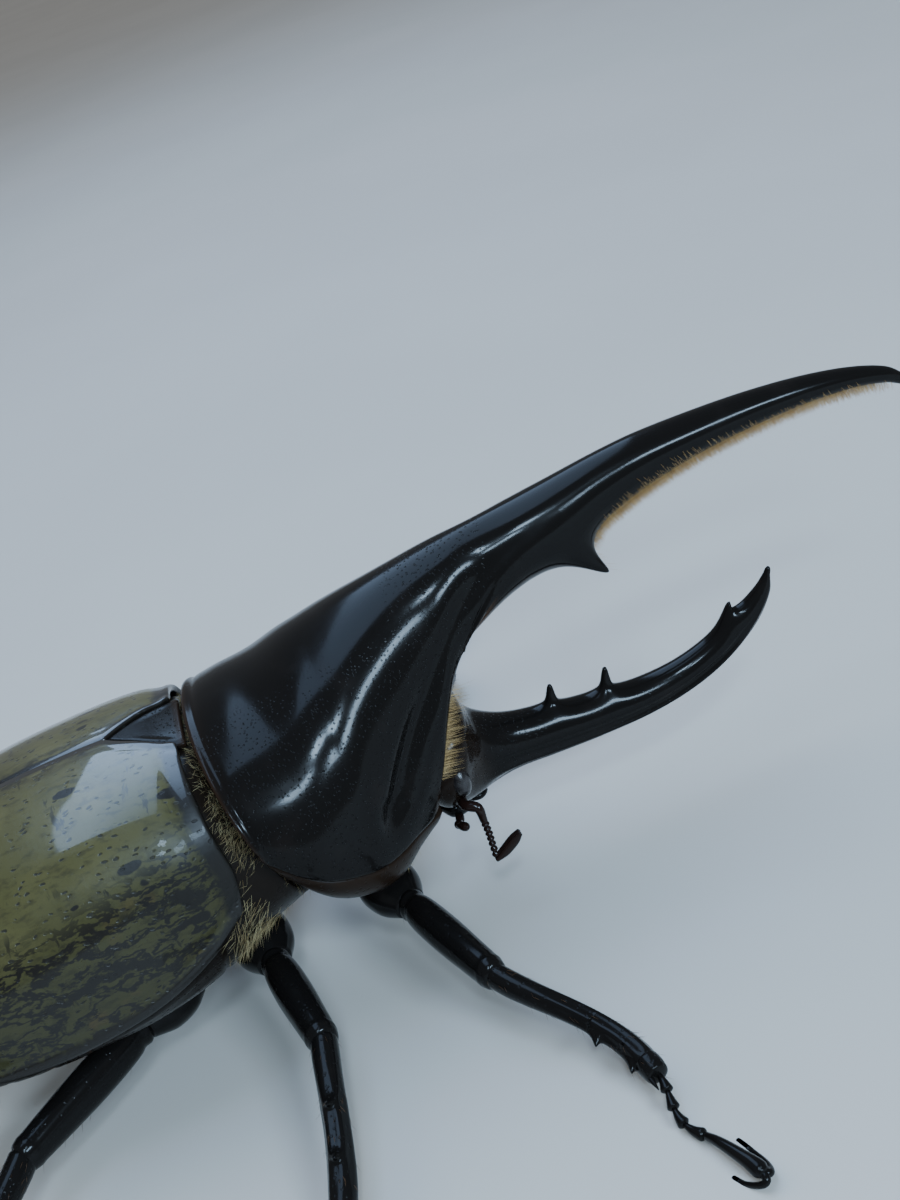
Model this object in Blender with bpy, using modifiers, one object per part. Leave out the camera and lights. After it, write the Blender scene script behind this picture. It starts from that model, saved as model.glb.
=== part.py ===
"""A male Hercules beetle, life size, standing still on its six feet.

The body is laid out in millimetres in its own terms: forward from the hind edge of the
pronotum, left from the middle, and up from the side edges of the wing cases. spot() turns
such a place into the scene's metres. The beetle faces -Y and its left side is +X.
"""
import math

import bmesh
import bpy
from mathutils import Matrix, Vector

MM = 0.001
GAP = 0.3                  # between shells that touch
STANCE = 20.0              # the side edges of the wing cases above the floor
MIDDLE = 17.15             # the forward place of the middle of the whole length
SIDES = (("left", 1), ("right", -1))

WING_CASE_WALL = 0.9
SEAM = 0.17                # half the seam between the wing cases
BODY_INSET = 1.3           # the soft body below the outer face of the wing cases
STEEP_FROM = -34.0         # behind here the back falls away steeply
STEEP_OVER = 16.0
SHOULDER_LEAN = 1.7        # how far the wing cases' front edge runs forward at the side
WAIST = -22.5              # where the thorax ends and the abdomen starts
TAIL = -49.8               # where the abdomen ends and the last plate starts
HIND_EDGE_SLOPE = 0.255    # how far the shield's hind edge runs forward as it goes down
SCUTELLUM = (-2.4, -9.9, 5.0)      # front, tip and half width of the plate between the wing cases
SCUTELLUM_TAPER = 0.8      # under 1 the plate's sides bow out
HORN_PARTING = (34.3, 23.3, 29.6, 9.4)    # top and underside of the cut between shield and horn

# The dome of the wing cases: forward, half width, top, edge, and how square it stands (less
# is squarer).
DOME = (
    (-2.4, 16.4, 16.3, 1.0, 0.68),
    (-7.0, 18.5, 17.0, -1.6, 0.68),
    (-14.0, 19.9, 17.3, -3.8, 0.72),
    (-24.0, 20.4, 16.8, -4.8, 0.76),
    (-34.0, 19.6, 14.6, -4.6, 0.78),
    (-42.0, 16.6, 11.0, -4.0, 0.80),
    (-47.5, 12.2, 6.6, -3.4, 0.84),
    (-50.6, 7.6, 2.6, -2.9, 0.84),
    (-52.0, 3.4, -0.4, -2.6, 0.84),
)
COLLAR = (2.0, 12.6, 10.0, 13.8)   # the thorax behind the shield: middle, reach up and down, half width
CHEST = ((-2.3, -10.6), (-5.5, -11.6), (-10.0, -12.2), (-16.0, -12.4))    # forward and lowest place
BELLY = (-11.6, -7.2)      # the lowest places of the abdomen, in front and behind
PLATES = 5
PLATE_FORM = ((0.0, 0.0), (0.55, 0.25), (0.93, 0.3))    # share of a plate and its swell
# The last plate: forward, half width, top and lowest place.
PYGIDIUM = (
    (TAIL - GAP / 2, 8.0, -3.1, -7.2),
    (-51.4, 7.4, -3.7, -7.4),
    (-52.8, 5.8, -4.1, -7.1),
    (-53.7, 3.0, -4.7, -6.5),
)
# Where the wing cases have a ring of points: closer together round the scutellum and at the end.
WING_ROWS = (-2.4, -3.8, -5.4, -7.2, -8.8, -9.8, -10.5, -13.0, -16.5, -20.5, -25.0, -29.5, -34.0,
             -38.0, -41.5, -44.5, -47.0, -49.2, -50.8, -51.6, -52.0)
# The shield behind the head and the horn that it draws out into: top forward and up, edge
# forward and up, half width at the edge, depth below the edge, and how the flank bows.
SHIELD = (
    (-1.0, 16.6, 1.8, 5.5, 17.0, 0.0, 0.92),
    (3.0, 17.5, 4.8, 2.6, 17.9, 0.0, 0.92),
    (7.4, 18.2, 7.2, 1.0, 18.2, 0.0, 0.94),
    (12.0, 19.8, 9.8, -0.2, 17.8, 0.0, 0.98),
    (16.5, 21.0, 12.6, -1.2, 16.8, 0.0, 1.02),
    (20.5, 22.0, 15.4, -1.9, 14.6, 0.0, 1.05),
    (24.0, 22.7, 18.2, -2.1, 11.9, 0.0, 1.10),
    (27.0, 23.2, 20.8, -2.4, 9.8, 0.0, 1.15),
    (29.0, 23.5, 22.0, 0.2, 9.6, 0.0, 1.20),
    (31.0, 23.8, 23.5, 3.5, 8.8, 0.0, 1.20),
    (33.0, 24.0, 25.1, 7.0, 7.4, 0.0, 1.15),
    (34.5, 24.1, 27.4, 10.3, 6.1, 0.4, 1.10),
    (36.0, 24.3, 31.8, 15.2, 5.3, 3.4, 1.0),
    (38.2, 24.5, 36.2, 17.9, 4.9, 3.7, 1.0),
    (41.0, 24.8, 40.6, 20.0, 4.5, 4.4, 1.0),
    (45.5, 25.3, 45.3, 20.8, 4.0, 4.5, 1.0),
    (50.0, 25.9, 50.0, 22.2, 3.3, 3.7, 1.0),
    (55.5, 26.3, 55.5, 23.3, 2.9, 3.1, 1.0),
    (62.0, 26.2, 62.0, 23.8, 2.6, 2.4, 1.0),
    (69.0, 25.8, 69.0, 23.8, 2.2, 1.9, 1.0),
    (75.5, 25.0, 75.4, 23.4, 1.8, 1.5, 1.0),
    (81.1, 23.8, 80.9, 22.5, 1.35, 1.1, 1.0),
    (85.3, 22.2, 84.9, 21.2, 0.95, 0.8, 1.0),
    (87.5, 20.3, 87.0, 19.8, 0.55, 0.5, 1.0),
)
HORN_TIP = (88.0, 18.5)
# Under the shield's first rows: how low the breast reaches, and how far forward it leans.
BREAST = (
    (-7.4, 4.4),
    (-8.8, 2.2),
    (-9.8, 1.2),
    (-10.4, 0.5),
    (-10.6, 0.0),
    (-10.4, -0.9),
    (-9.6, -2.4),
    (-8.0, -3.1),
)
# The pair of hooks under the long horn: root, tip and bend as forward, left and up, then width.
HOOK_ROOT = (44.7, 1.5, 19.6)
HOOK_TIP = (47.9, 3.3, 13.8)
HOOK_BEND = (-0.1, 0.0, 0.35)
HOOK_WIDTH = 3.3
# The horn of the head: forward, middle up, half height, half width.
HEAD_HORN = (
    (28.3, -2.7, 4.5, 4.0),
    (31.5, -3.7, 3.6, 3.2),
    (36.0, -4.5, 3.15, 2.8),
    (42.0, -5.2, 2.75, 2.5),
    (48.0, -5.5, 2.4, 2.2),
    (53.5, -4.9, 2.15, 1.9),
    (58.5, -3.3, 1.95, 1.65),
    (62.5, -1.0, 1.6, 1.35),
    (65.2, 1.5, 1.0, 0.9),
    (66.3, 3.4, 0.4, 0.4),
)
HEAD_HORN_TIP = (66.6, 4.1)
# The teeth on the head's horn: root and tip as forward and up, then half width.
HEAD_TEETH = (
    (37.4, -2.6, 37.9, 0.9, 1.2),
    (44.1, -3.6, 44.7, 0.1, 1.25),
    (60.4, -2.2, 60.9, 1.3, 1.35),
)
# The head: middle forward and up, half height, half width, and lean in degrees.
HEAD = (
    (22.85, 0.35, 6.2, 8.3, 28.0),
    (24.3, -1.0, 6.3, 8.0, 27.0),
    (26.0, -2.0, 5.7, 6.0, 16.0),
    (28.0, -2.7, 4.7, 4.2, 0.0),
)
CHIN = -7.0                # the flat under the head where the mouth sits
EYE = (24.0, 7.4, -1.2)    # the middle of the left eye
EYE_SIZE = (1.15, 1.5, 2.0)    # half its length, width and height
# The mouth under the chin: forward, half width and lowest place.
MOUTH = (
    (20.9, 2.6, -8.3),
    (21.9, 3.7, -9.2),
    (23.6, 3.6, -9.3),
    (24.6, 2.6, -8.7),
)
# The left jaw: forward, left, up, half height and half width.
MANDIBLE = (
    (24.95, 1.45, -8.0, 0.5, 0.62),
    (25.6, 1.6, -8.1, 0.48, 0.6),
    (26.2, 1.3, -8.2, 0.36, 0.45),
    (26.6, 0.8, -8.3, 0.22, 0.28),
)
PALP = ((22.7, 2.6, -8.4), (22.3, 4.6, -8.5), (21.9, 6.4, -7.4), (22.8, 7.9, -7.1))
PALP_BEAD = (0.34, 0.52)   # half widths at a bead's start and belly
# The left feeler's joints, the fan at its end, and the fan's share, half height and half width.
ANTENNA = ((23.5, 5.6, -4.3), (23.4, 8.2, -3.9), (24.6, 9.2, -4.3), (24.7, 9.6, -6.2), (24.5, 9.9, -11.0))
ANTENNA_SIZE = 0.5
ANTENNA_BEADS = 5
CLUB = ((24.45, 9.9, -11.1), (27.7, 10.0, -9.2))
CLUB_FORM = ((0.0, 0.38, 0.28), (0.25, 0.68, 0.5), (0.6, 0.77, 0.56), (0.9, 0.55, 0.4), (1.0, 0.33, 0.24))

# Each leg: hip, knee, ankle, the feet's bead ends and claws as forward, left and up; then how
# far the shin bows, and half widths.
LEGS = {
    "fore": {
        "hip": (12.0, 7.6, -10.4), "knee": (19.1, 26.0, -12.5), "ankle": (29.9, 42.7, -17.3),
        "bend": (31.2, 49.8, -19.1), "toe": (34.2, 56.5, -18.6), "bow": (0.8, -1.35, -0.2),
        "drop": (-0.9, -0.2, -0.35),
        "hip_size": 3.0, "thigh": 2.35, "shin": 1.4, "sole": 0.5, "teeth": (0.66, 0.88),
    },
    "middle": {
        "hip": (-3.6, 7.2, -10.4), "knee": (0.2, 24.6, -12.5), "ankle": (-3.0, 43.6, -17.2),
        "bend": (-4.4, 51.0, -19.1), "toe": (-7.4, 57.8, -18.6), "bow": (0.6, 0.0, 0.6),
        "drop": (0.2, -0.3, -0.7),
        "hip_size": 3.2, "thigh": 2.5, "shin": 1.55, "sole": 0.5, "teeth": (0.42, 0.72),
    },
    "hind": {
        "hip": (-15.6, 8.0, -12.0), "knee": (-33.0, 22.6, -12.4), "ankle": (-44.0, 39.4, -17.2),
        "bend": (-47.6, 46.4, -19.1), "toe": (-50.6, 53.4, -18.6), "bow": (-0.5, 0.3, 0.6),
        "drop": (0.3, -0.3, -0.7),
        "hip_size": 3.2, "thigh": 2.4, "shin": 1.6, "sole": 0.5, "teeth": (0.42, 0.72),
    },
}
# Shares of a limb's length, with its height and width there as shares of its half width.
THIGH_FORM = ((0.0, 0.82, 0.62), (0.18, 1.0, 0.78), (0.45, 1.04, 0.8), (0.75, 0.9, 0.7),
              (0.92, 0.8, 0.62), (1.0, 0.74, 0.56))
SHIN_FORM = ((0.0, 0.98, 0.72), (0.1, 0.92, 0.7), (0.25, 0.86, 0.66), (0.5, 0.8, 0.66), (0.68, 0.86, 0.72),
             (0.84, 0.95, 0.8), (0.94, 0.92, 0.8), (1.0, 0.8, 0.74))
HIP_FORM = ((0.0, 0.8, 0.9), (0.3, 1.0, 1.12), (0.67, 0.95, 1.05), (1.0, 0.62, 0.66))
BEAD_FORM = ((0.0, 0.62), (0.55, 1.0), (0.92, 1.22))
LAST_JOINT_FORM = ((0.0, 0.75), (0.3, 1.05), (0.75, 1.45), (0.93, 1.7), (1.0, 1.3))
BEADS = 4
CLAWS = ((1, 4.8, 1.9), (-1, 2.4, 1.4))    # ahead or behind, reach back and swing aside
HIP_DEPTH = 3.0            # how deep a leg's root sits in its socket
HIP_REACH = 4.2            # how far the root stands out of it


def spot(forward, left, up):
    """Gives the scene's place, in metres, of a place on the body."""
    return Vector((left, MIDDLE - forward, up + STANCE)) * MM


def heading(direction):
    """Turns a direction on the body into the scene's."""
    return Vector((direction[1], -direction[0], direction[2])).normalized()


def on_side(place, side):
    """Moves a place on the left of the body to the given side."""
    return Vector((place[0], place[1] * side, place[2]))


def smooth(table, count):
    """Reads count + 1 even steps from a curve through the table's rows."""
    rows = [Vector(row) for row in table]
    rows = [2 * rows[0] - rows[1]] + rows + [2 * rows[-1] - rows[-2]]
    steps = []
    for step in range(count + 1):
        place = step / count * (len(table) - 1)
        first = min(int(place), len(table) - 2)
        t = place - first
        a, b, c, d = rows[first:first + 4]
        steps.append(0.5 * (2 * b + (c - a) * t + (2 * a - 5 * b + 4 * c - d) * t ** 2
                            + (3 * b - a - 3 * c + d) * t ** 3))
    return steps


def reading(table, key):
    """Reads the curve through the table where its first value is key."""
    steps = smooth(table, 16 * (len(table) - 1))
    for before, after in zip(steps, steps[1:]):
        if min(before[0], after[0]) <= key <= max(before[0], after[0]):
            return before.lerp(after, (key - before[0]) / (after[0] - before[0]))
    return steps[0] if abs(key - steps[0][0]) < abs(key - steps[-1][0]) else steps[-1]


def power(value, exponent):
    """Raises a value's size to an exponent and keeps its sign."""
    return math.copysign(abs(value) ** exponent, value)


def material(name, colour, roughness):
    """Makes a node's own finish."""
    finish = bpy.data.materials.new(name)
    finish.use_nodes = True
    shader = finish.node_tree.nodes["Principled BSDF"]
    shader.inputs["Base Color"].default_value = (*colour, 1.0)
    shader.inputs["Roughness"].default_value = roughness
    shader.inputs["Metallic"].default_value = 0.0
    return finish


def loft(rings):
    """Joins rings of places into one closed mesh; a ring of one place is a tip."""
    mesh = bmesh.new()
    rows = [[mesh.verts.new(place) for place in ring] for ring in rings]
    for row, after in zip(rows, rows[1:]):
        count = max(len(row), len(after))
        for i in range(count):
            j = (i + 1) % count
            if len(after) == 1:
                mesh.faces.new((row[i], row[j], after[0]))
            else:
                mesh.faces.new((row[i], row[j], after[j], after[i]))
    mesh.faces.new(list(reversed(rows[0])))
    if len(rows[-1]) > 1:
        mesh.faces.new(rows[-1])
    bmesh.ops.recalc_face_normals(mesh, faces=mesh.faces)
    return mesh


def place_object(name, mesh, collection):
    """Turns a bmesh into an object of a collection."""
    data = bpy.data.meshes.new(name)
    mesh.to_mesh(data)
    mesh.free()
    thing = bpy.data.objects.new(name, data)
    collection.objects.link(thing)
    return thing


def slice_off(thing, point, normal):
    """Cuts away what lies past a plane and closes the cut."""
    mesh = bmesh.new()
    mesh.from_mesh(thing.data)
    geometry = mesh.verts[:] + mesh.edges[:] + mesh.faces[:]
    cut = bmesh.ops.bisect_plane(mesh, geom=geometry, plane_co=point, plane_no=normal, clear_outer=True)
    rim = [item for item in cut["geom_cut"] if isinstance(item, bmesh.types.BMEdge)]
    bmesh.ops.holes_fill(mesh, edges=rim, sides=0)
    bmesh.ops.recalc_face_normals(mesh, faces=mesh.faces)
    mesh.to_mesh(thing.data)
    mesh.free()


def keep_largest(mesh):
    """Drops every closed surface of a bmesh but the largest."""
    left = set(mesh.faces)
    groups = []
    while left:
        group = set()
        todo = [left.pop()]
        while todo:
            face = todo.pop()
            group.add(face)
            for edge in face.edges:
                for other in edge.link_faces:
                    if other in left:
                        left.discard(other)
                        todo.append(other)
        groups.append(group)
    groups.sort(key=len)
    scraps = [face for group in groups[:-1] for face in group]
    bmesh.ops.delete(mesh, geom=scraps, context="FACES")


def combine(thing, others, operation="UNION"):
    """Joins closed objects to one, or cuts them out of it, and removes them."""
    gathered = bpy.data.collections.new("joined")
    for other in others:
        for holder in other.users_collection:
            holder.objects.unlink(other)
        gathered.objects.link(other)
    step = thing.modifiers.new("join", "BOOLEAN")
    step.operand_type = "COLLECTION"
    step.collection = gathered
    step.operation = operation
    step.solver = "EXACT"
    bpy.context.view_layer.update()
    result = thing.evaluated_get(bpy.context.evaluated_depsgraph_get())
    mesh = bmesh.new()
    mesh.from_mesh(bpy.data.meshes.new_from_object(result))
    thing.modifiers.remove(step)
    keep_largest(mesh)
    mesh.to_mesh(thing.data)
    mesh.free()
    for other in others:
        bpy.data.objects.remove(other)
    bpy.data.collections.remove(gathered)


def finish_node(thing, colour, roughness, root):
    """Gives a node its finish, smooth shading and parent."""
    thing.data.materials.clear()
    thing.data.materials.append(material(thing.name, colour, roughness))
    thing.data.shade_smooth()
    thing.data.set_sharp_from_angle(angle=math.radians(42.0))
    thing.parent = root


def tube(stations, sides, square=1.0):
    """Rings across a path: each station is forward, left, up, half height and half width."""
    rings = []
    for i, row in enumerate(stations):
        here = Vector(row[:3])
        before = Vector(stations[max(i - 1, 0)][:3])
        after = Vector(stations[min(i + 1, len(stations) - 1)][:3])
        run = (after - before).normalized()
        across = Vector((0, 0, 1)).cross(run).normalized()
        rise = run.cross(across)
        ring = []
        for step in range(sides):
            angle = math.tau * step / sides
            place = here + across * row[4] * power(math.cos(angle), square)
            place += rise * row[3] * power(math.sin(angle), square)
            ring.append(spot(*place))
        rings.append(ring)
    return rings


def turned(ring, neighbour, facing):
    """Slides an end ring's places along the path, so that the end faces a direction."""
    centre = sum(ring, Vector()) / len(ring)
    path = (centre - sum(neighbour, Vector()) / len(neighbour)).normalized()
    normal = heading(facing)
    return [point + path * (centre - point).dot(normal) / path.dot(normal) for point in ring]


def bowed(start, end, bow, share):
    """A place along a limb that bows out most at two thirds of its length."""
    return start.lerp(end, share) + bow * 6.75 * share ** 2 * (1 - share)


def limb(name, start, end, bow, size, form, sides, facings, collection):
    """A leg's piece from start to end, with its two ends turned to face its neighbours."""
    stations = [(*bowed(start, end, bow, share), size * high, size * wide) for share, high, wide in form]
    rings = tube(stations, sides, 0.95)
    rings[0] = turned(rings[0], rings[1], facings[0])
    rings[-1] = turned(rings[-1], rings[-2], facings[1])
    return place_object(name, loft(rings), collection)


def spike(base, tip, width, sides, collection, bend=(0.0, 0.0, 0.0)):
    """A tapered tooth from a sunk root to a blunt tip."""
    base = Vector(base)
    tip = Vector(tip)
    middle = base.lerp(tip, 0.55) + Vector(bend)
    stations = (
        (*base, width, width),
        (*middle, width * 0.62, width * 0.62),
        (*tip, width * 0.16, width * 0.16),
    )
    return place_object("tooth", loft(tube(stations, sides)), collection)


def cut_socket(body, centre, direction, radius, depth, collection):
    """Sinks a flat-floored round socket into a body; centre is the middle of its floor."""
    mesh = bmesh.new()
    bmesh.ops.create_cone(mesh, cap_ends=True, segments=16, radius1=radius * MM, radius2=radius * MM,
                          depth=2 * depth * MM)
    run = heading(direction)
    turn = Vector((0, 0, 1)).rotation_difference(run).to_matrix().to_4x4()
    shift = Matrix.Translation(spot(*centre) + run * depth * MM)
    bmesh.ops.transform(mesh, matrix=shift @ turn, verts=mesh.verts)
    combine(body, [place_object("socket", mesh, collection)], "DIFFERENCE")


def scutellum_half(forward):
    """The half width of the small plate between the wing cases."""
    front, tip, half = SCUTELLUM
    return half * min(1.0, max(0.0, (forward - tip) / (front - tip))) ** SCUTELLUM_TAPER


def shield_ring(row):
    """One ring of the shield or its horn: an arch over the top, then the underside."""
    top_at, top, edge_at, edge, half, sag, bow = row
    down = Vector((edge_at - top_at, 0.0, edge - top)).normalized()
    ring = []
    for step in range(19):
        angle = math.pi * step / 18
        side = half * power(math.cos(angle), bow)
        lift = math.sin(angle) ** (0.5 + 0.5 * bow)
        ring.append(spot(edge_at + (top_at - edge_at) * lift, side, edge + (top - edge) * lift))
    for step in range(1, 8):
        angle = math.pi * (1 + step / 8)
        below = down * max(0.0, sag) * abs(math.sin(angle))
        ring.append(spot(edge_at + below.x, half * math.cos(angle), edge + below.z))
    return ring


def make_shield(collection):
    """The pronotum and its long horn, modelled whole and parted by a thin slanting cut."""
    rings = [shield_ring(row) for row in smooth(SHIELD, 34)]
    rings.append([spot(HORN_TIP[0], 0.0, HORN_TIP[1])])
    shield = place_object("pronotum", loft(rings), collection)
    horn = place_object("thoracic_horn", loft(rings), collection)
    top = spot(HORN_PARTING[0], 0.0, HORN_PARTING[1])
    low = spot(HORN_PARTING[2], 0.0, HORN_PARTING[3])
    ahead = (top - low).cross(Vector((1, 0, 0))).normalized()
    if ahead.y > 0:
        ahead = -ahead
    slice_off(shield, low, ahead)
    slice_off(horn, low + ahead * GAP * MM, -ahead)
    teeth = []
    for _, side in SIDES:
        root = on_side(HOOK_ROOT, side)
        teeth.append(spike(root, on_side(HOOK_TIP, side), HOOK_WIDTH, 8, collection, HOOK_BEND))
    combine(horn, teeth)
    return shield, horn


def make_breast(collection):
    """The prosternum: the underside of the front of the thorax, under the shield."""
    rings = []
    for row, (low, lean) in zip(SHIELD, BREAST):
        _, _, edge_at, edge, half, _, _ = row
        upper = edge - GAP - 0.25
        ring = []
        for step in range(13):
            angle = math.pi * step / 12
            side = (half - 0.6) * power(math.cos(angle), 1.5)
            drop = math.sin(angle) ** 0.95
            ring.append(spot(edge_at + lean * drop, side, upper - (upper - low) * drop))
        rings.append(ring)
    return place_object("prosternum", loft(rings), collection)


def make_head(collection):
    """The head, from its seat in the hood to the root of its horn, flat under the chin."""
    rings = []
    for forward, up, high, wide, lean in HEAD:
        lean = math.radians(lean)
        ring = []
        for step in range(18):
            angle = math.tau * step / 18
            rise = high * power(math.sin(angle), 0.85)
            side = wide * power(math.cos(angle), 0.85)
            ring.append(spot(forward + rise * math.sin(lean), side, up + rise * math.cos(lean)))
        rings.append(ring)
    head = place_object("head", loft(rings), collection)
    slice_off(head, spot(0.0, 0.0, CHIN), Vector((0, 0, -1)))
    return head


def make_head_horn(collection):
    """The horn of the head, with three small teeth along its upper edge."""
    stations = [(forward, 0.0, up, high, wide) for forward, up, high, wide in smooth(HEAD_HORN, 18)]
    rings = tube(stations, 14)
    rings[0] = turned(rings[0], rings[1], (1, 0, 0))
    rings.append([spot(HEAD_HORN_TIP[0], 0.0, HEAD_HORN_TIP[1])])
    horn = place_object("cephalic_horn", loft(rings), collection)
    teeth = []
    for root_at, root, tip_at, tip, width in HEAD_TEETH:
        teeth.append(spike((root_at, 0, root), (tip_at, 0, tip), width, 6, collection))
    combine(horn, teeth)
    return horn


def make_eye(name, side, head, collection):
    """One eye, sunk in a socket of the head."""
    centre = spot(*on_side(EYE, side))
    length, width, height = EYE_SIZE
    made = []
    for grow in (0.0, GAP):
        mesh = bmesh.new()
        bmesh.ops.create_uvsphere(mesh, u_segments=12, v_segments=8, radius=MM)
        for vert in mesh.verts:
            vert.co.x *= width + grow
            vert.co.y *= length + grow
            vert.co.z *= height + grow
        bmesh.ops.translate(mesh, verts=mesh.verts, vec=centre)
        made.append(place_object(name, mesh, collection))
    combine(head, [made[1]], "DIFFERENCE")
    return made[0]


def make_antenna(name, side, head, collection):
    """A feeler: a bent root in its socket, a chain of beads and a closed fan at the end."""
    path = [on_side(place, side) for place in ANTENNA]
    rows = []
    for here, there in zip(path[:-2], path[1:-1]):
        for share in (0.0, 0.5):
            rows.append((*here.lerp(there, share), ANTENNA_SIZE, ANTENNA_SIZE))
    for step in range(2 * ANTENNA_BEADS):
        size = ANTENNA_SIZE * (0.75 if step % 2 else 1.15)
        rows.append((*path[-2].lerp(path[-1], step / (2 * ANTENNA_BEADS)), size, size))
    feeler = place_object(name, loft(tube(rows, 7)), collection)
    root, tip = (on_side(place, side) for place in CLUB)
    club = [(*root.lerp(tip, share), high, wide) for share, high, wide in CLUB_FORM]
    combine(feeler, [place_object("club", loft(tube(club, 8)), collection)])
    run = (path[1] - path[0]).normalized()
    cut_socket(head, path[0] - run * GAP, run, ANTENNA_SIZE + GAP, 4.0, collection)
    return feeler


def make_mouth(collection):
    """The lower lip and cheeks under the head, as one small block."""
    rings = []
    for forward, half, low in MOUTH:
        upper = CHIN - GAP
        ring = []
        for step in range(9):
            angle = math.pi * step / 8
            drop = math.sin(angle) ** 0.7
            ring.append(spot(forward, half * power(math.cos(angle), 0.7), upper - (upper - low) * drop))
        rings.append(ring)
    return place_object("mouthparts", loft(rings), collection)


def make_mandible(name, side, collection):
    """One jaw: a short blunt hook ahead of the mouth."""
    rings = tube([(*on_side(row[:3], side), *row[3:]) for row in MANDIBLE], 7)
    rings[0] = turned(rings[0], rings[1], (1, 0, 0))
    return place_object(name, loft(rings), collection)


def make_palp(name, side, mouth, collection):
    """One feeler of the mouth: three short beads."""
    path = [on_side(place, side) for place in PALP]
    thin, thick = PALP_BEAD
    rows = []
    for here, there in zip(path, path[1:]):
        rows.append((*here, thin, thin))
        rows.append((*here.lerp(there, 0.6), thick, thick))
    rows.append((*path[-1], thin, thin))
    palp = place_object(name, loft(tube(rows, 7)), collection)
    run = (path[1] - path[0]).normalized()
    cut_socket(mouth, path[0] - run * GAP, run, thick + GAP, 4.0, collection)
    return palp


def body_ring(forward, belly):
    """One ring of the hind body: under the wing cases above, the belly below."""
    steep = max(0.0, (STEEP_FROM - forward) / STEEP_OVER)
    _, half, top, edge, square = reading(DOME, forward - BODY_INSET * steep)
    half -= BODY_INSET
    top -= BODY_INSET
    ring = []
    for step in range(28):
        angle = math.pi * step / 14
        lift = math.sin(angle)
        if lift > -1e-6:
            side = half * power(math.cos(angle), square)
            up = edge + (top - edge) * abs(lift) ** square
        else:
            side = half * power(math.cos(angle), 1.25)
            up = edge - (edge - belly) * abs(lift) ** 0.95
        ring.append(spot(forward, side, up))
    return ring


def make_thorax(collection):
    """The middle of the body, from behind the shield to under the wing cases."""
    base = SHIELD[0][0] - GAP - 0.05
    middle, above, below, half = COLLAR
    front = []
    for step in range(28):
        angle = math.pi * step / 14
        lift = power(math.sin(angle), 0.9)
        up = middle + (above if lift > 0 else below) * lift
        side = half * power(math.cos(angle), 0.86 if lift > -1e-6 else 1.25)
        front.append(spot(base + (SHIELD[0][1] - up) * HIND_EDGE_SLOPE, side, up))
    rings = [front] + [body_ring(forward, low) for forward, low in CHEST]
    rings.append(body_ring(WAIST + GAP / 2, CHEST[-1][1] + 0.4))
    return place_object("thorax", loft(rings), collection)


def make_abdomen(collection):
    """The belly, in plates that step down one behind another."""
    start = WAIST - GAP / 2
    length = (start - TAIL - GAP / 2) / PLATES
    front_low, rear_low = BELLY
    rings = []
    for plate in range(PLATES):
        for share, swell in PLATE_FORM:
            forward = start - (plate + share) * length
            low = front_low + (rear_low - front_low) * ((forward - start) / (TAIL - start)) ** 2
            rings.append(body_ring(forward, low - swell))
    rings.append(body_ring(TAIL + GAP / 2, rear_low))
    return place_object("abdomen", loft(rings), collection)


def make_tail(collection):
    """The pygidium: the rounded plate that closes the body behind."""
    rings = []
    for forward, half, top, low in PYGIDIUM:
        middle = (top + low) / 2
        ring = []
        for step in range(16):
            angle = math.tau * step / 16
            rise = (top - middle) * power(math.sin(angle), 0.9)
            ring.append(spot(forward, half * power(math.cos(angle), 0.9), middle + rise))
        rings.append(ring)
    return place_object("pygidium", loft(rings), collection)


def shell(name, rows, collection):
    """A thin wall on an open grid of places, thickened inwards."""
    mesh = bmesh.new()
    grid = [[mesh.verts.new(place) for place in row] for row in rows]
    for row, after in zip(grid, grid[1:]):
        for i in range(len(row) - 1):
            mesh.faces.new((row[i], row[i + 1], after[i + 1], after[i]))
    bmesh.ops.recalc_face_normals(mesh, faces=mesh.faces)
    if sum(face.normal.z * face.calc_area() for face in mesh.faces) < 0:
        bmesh.ops.reverse_faces(mesh, faces=mesh.faces)
    thing = place_object(name, mesh, collection)
    wall = thing.modifiers.new("wall", "SOLIDIFY")
    wall.thickness = WING_CASE_WALL * MM
    wall.offset = -1.0
    return thing


def make_wing_case(name, side, collection):
    """One wing case, from the seam down to its side edge and round the scutellum."""
    rows = []
    for forward in WING_ROWS:
        _, half, top, edge, square = reading(DOME, forward)
        inner = SEAM
        if forward > SCUTELLUM[1] - 0.3:
            inner += scutellum_half(forward) + GAP
        start = math.acos((inner / half) ** (1 / square))
        lean = SHOULDER_LEAN * max(0.0, 1 + (forward - DOME[0][0]) / 8)
        row = []
        for step in range(12):
            angle = start * (1 - step / 11)
            out = half * math.cos(angle) ** square
            lift = math.sin(angle) ** square
            row.append(spot(forward + lean * (1 - lift), side * out, edge + (top - edge) * lift))
        rows.append(row)
    return shell(name, rows, collection)


def make_scutellum(collection):
    """The small triangular plate between the roots of the wing cases."""
    front, tip, _ = SCUTELLUM
    rows = []
    for step in range(6):
        forward = front + 0.3 + (tip + 0.1 - front) * step / 5
        half = scutellum_half(forward)
        _, wide, top, edge, square = reading(DOME, min(forward, front))
        row = []
        for across in range(5):
            side = half * (across / 2 - 1)
            lift = (1 - (abs(side) / wide) ** (2 / square)) ** (square / 2)
            row.append(spot(forward, side, edge + (top - edge) * lift - 0.1))
        rows.append(row)
    return shell("scutellum", rows, collection)


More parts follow.
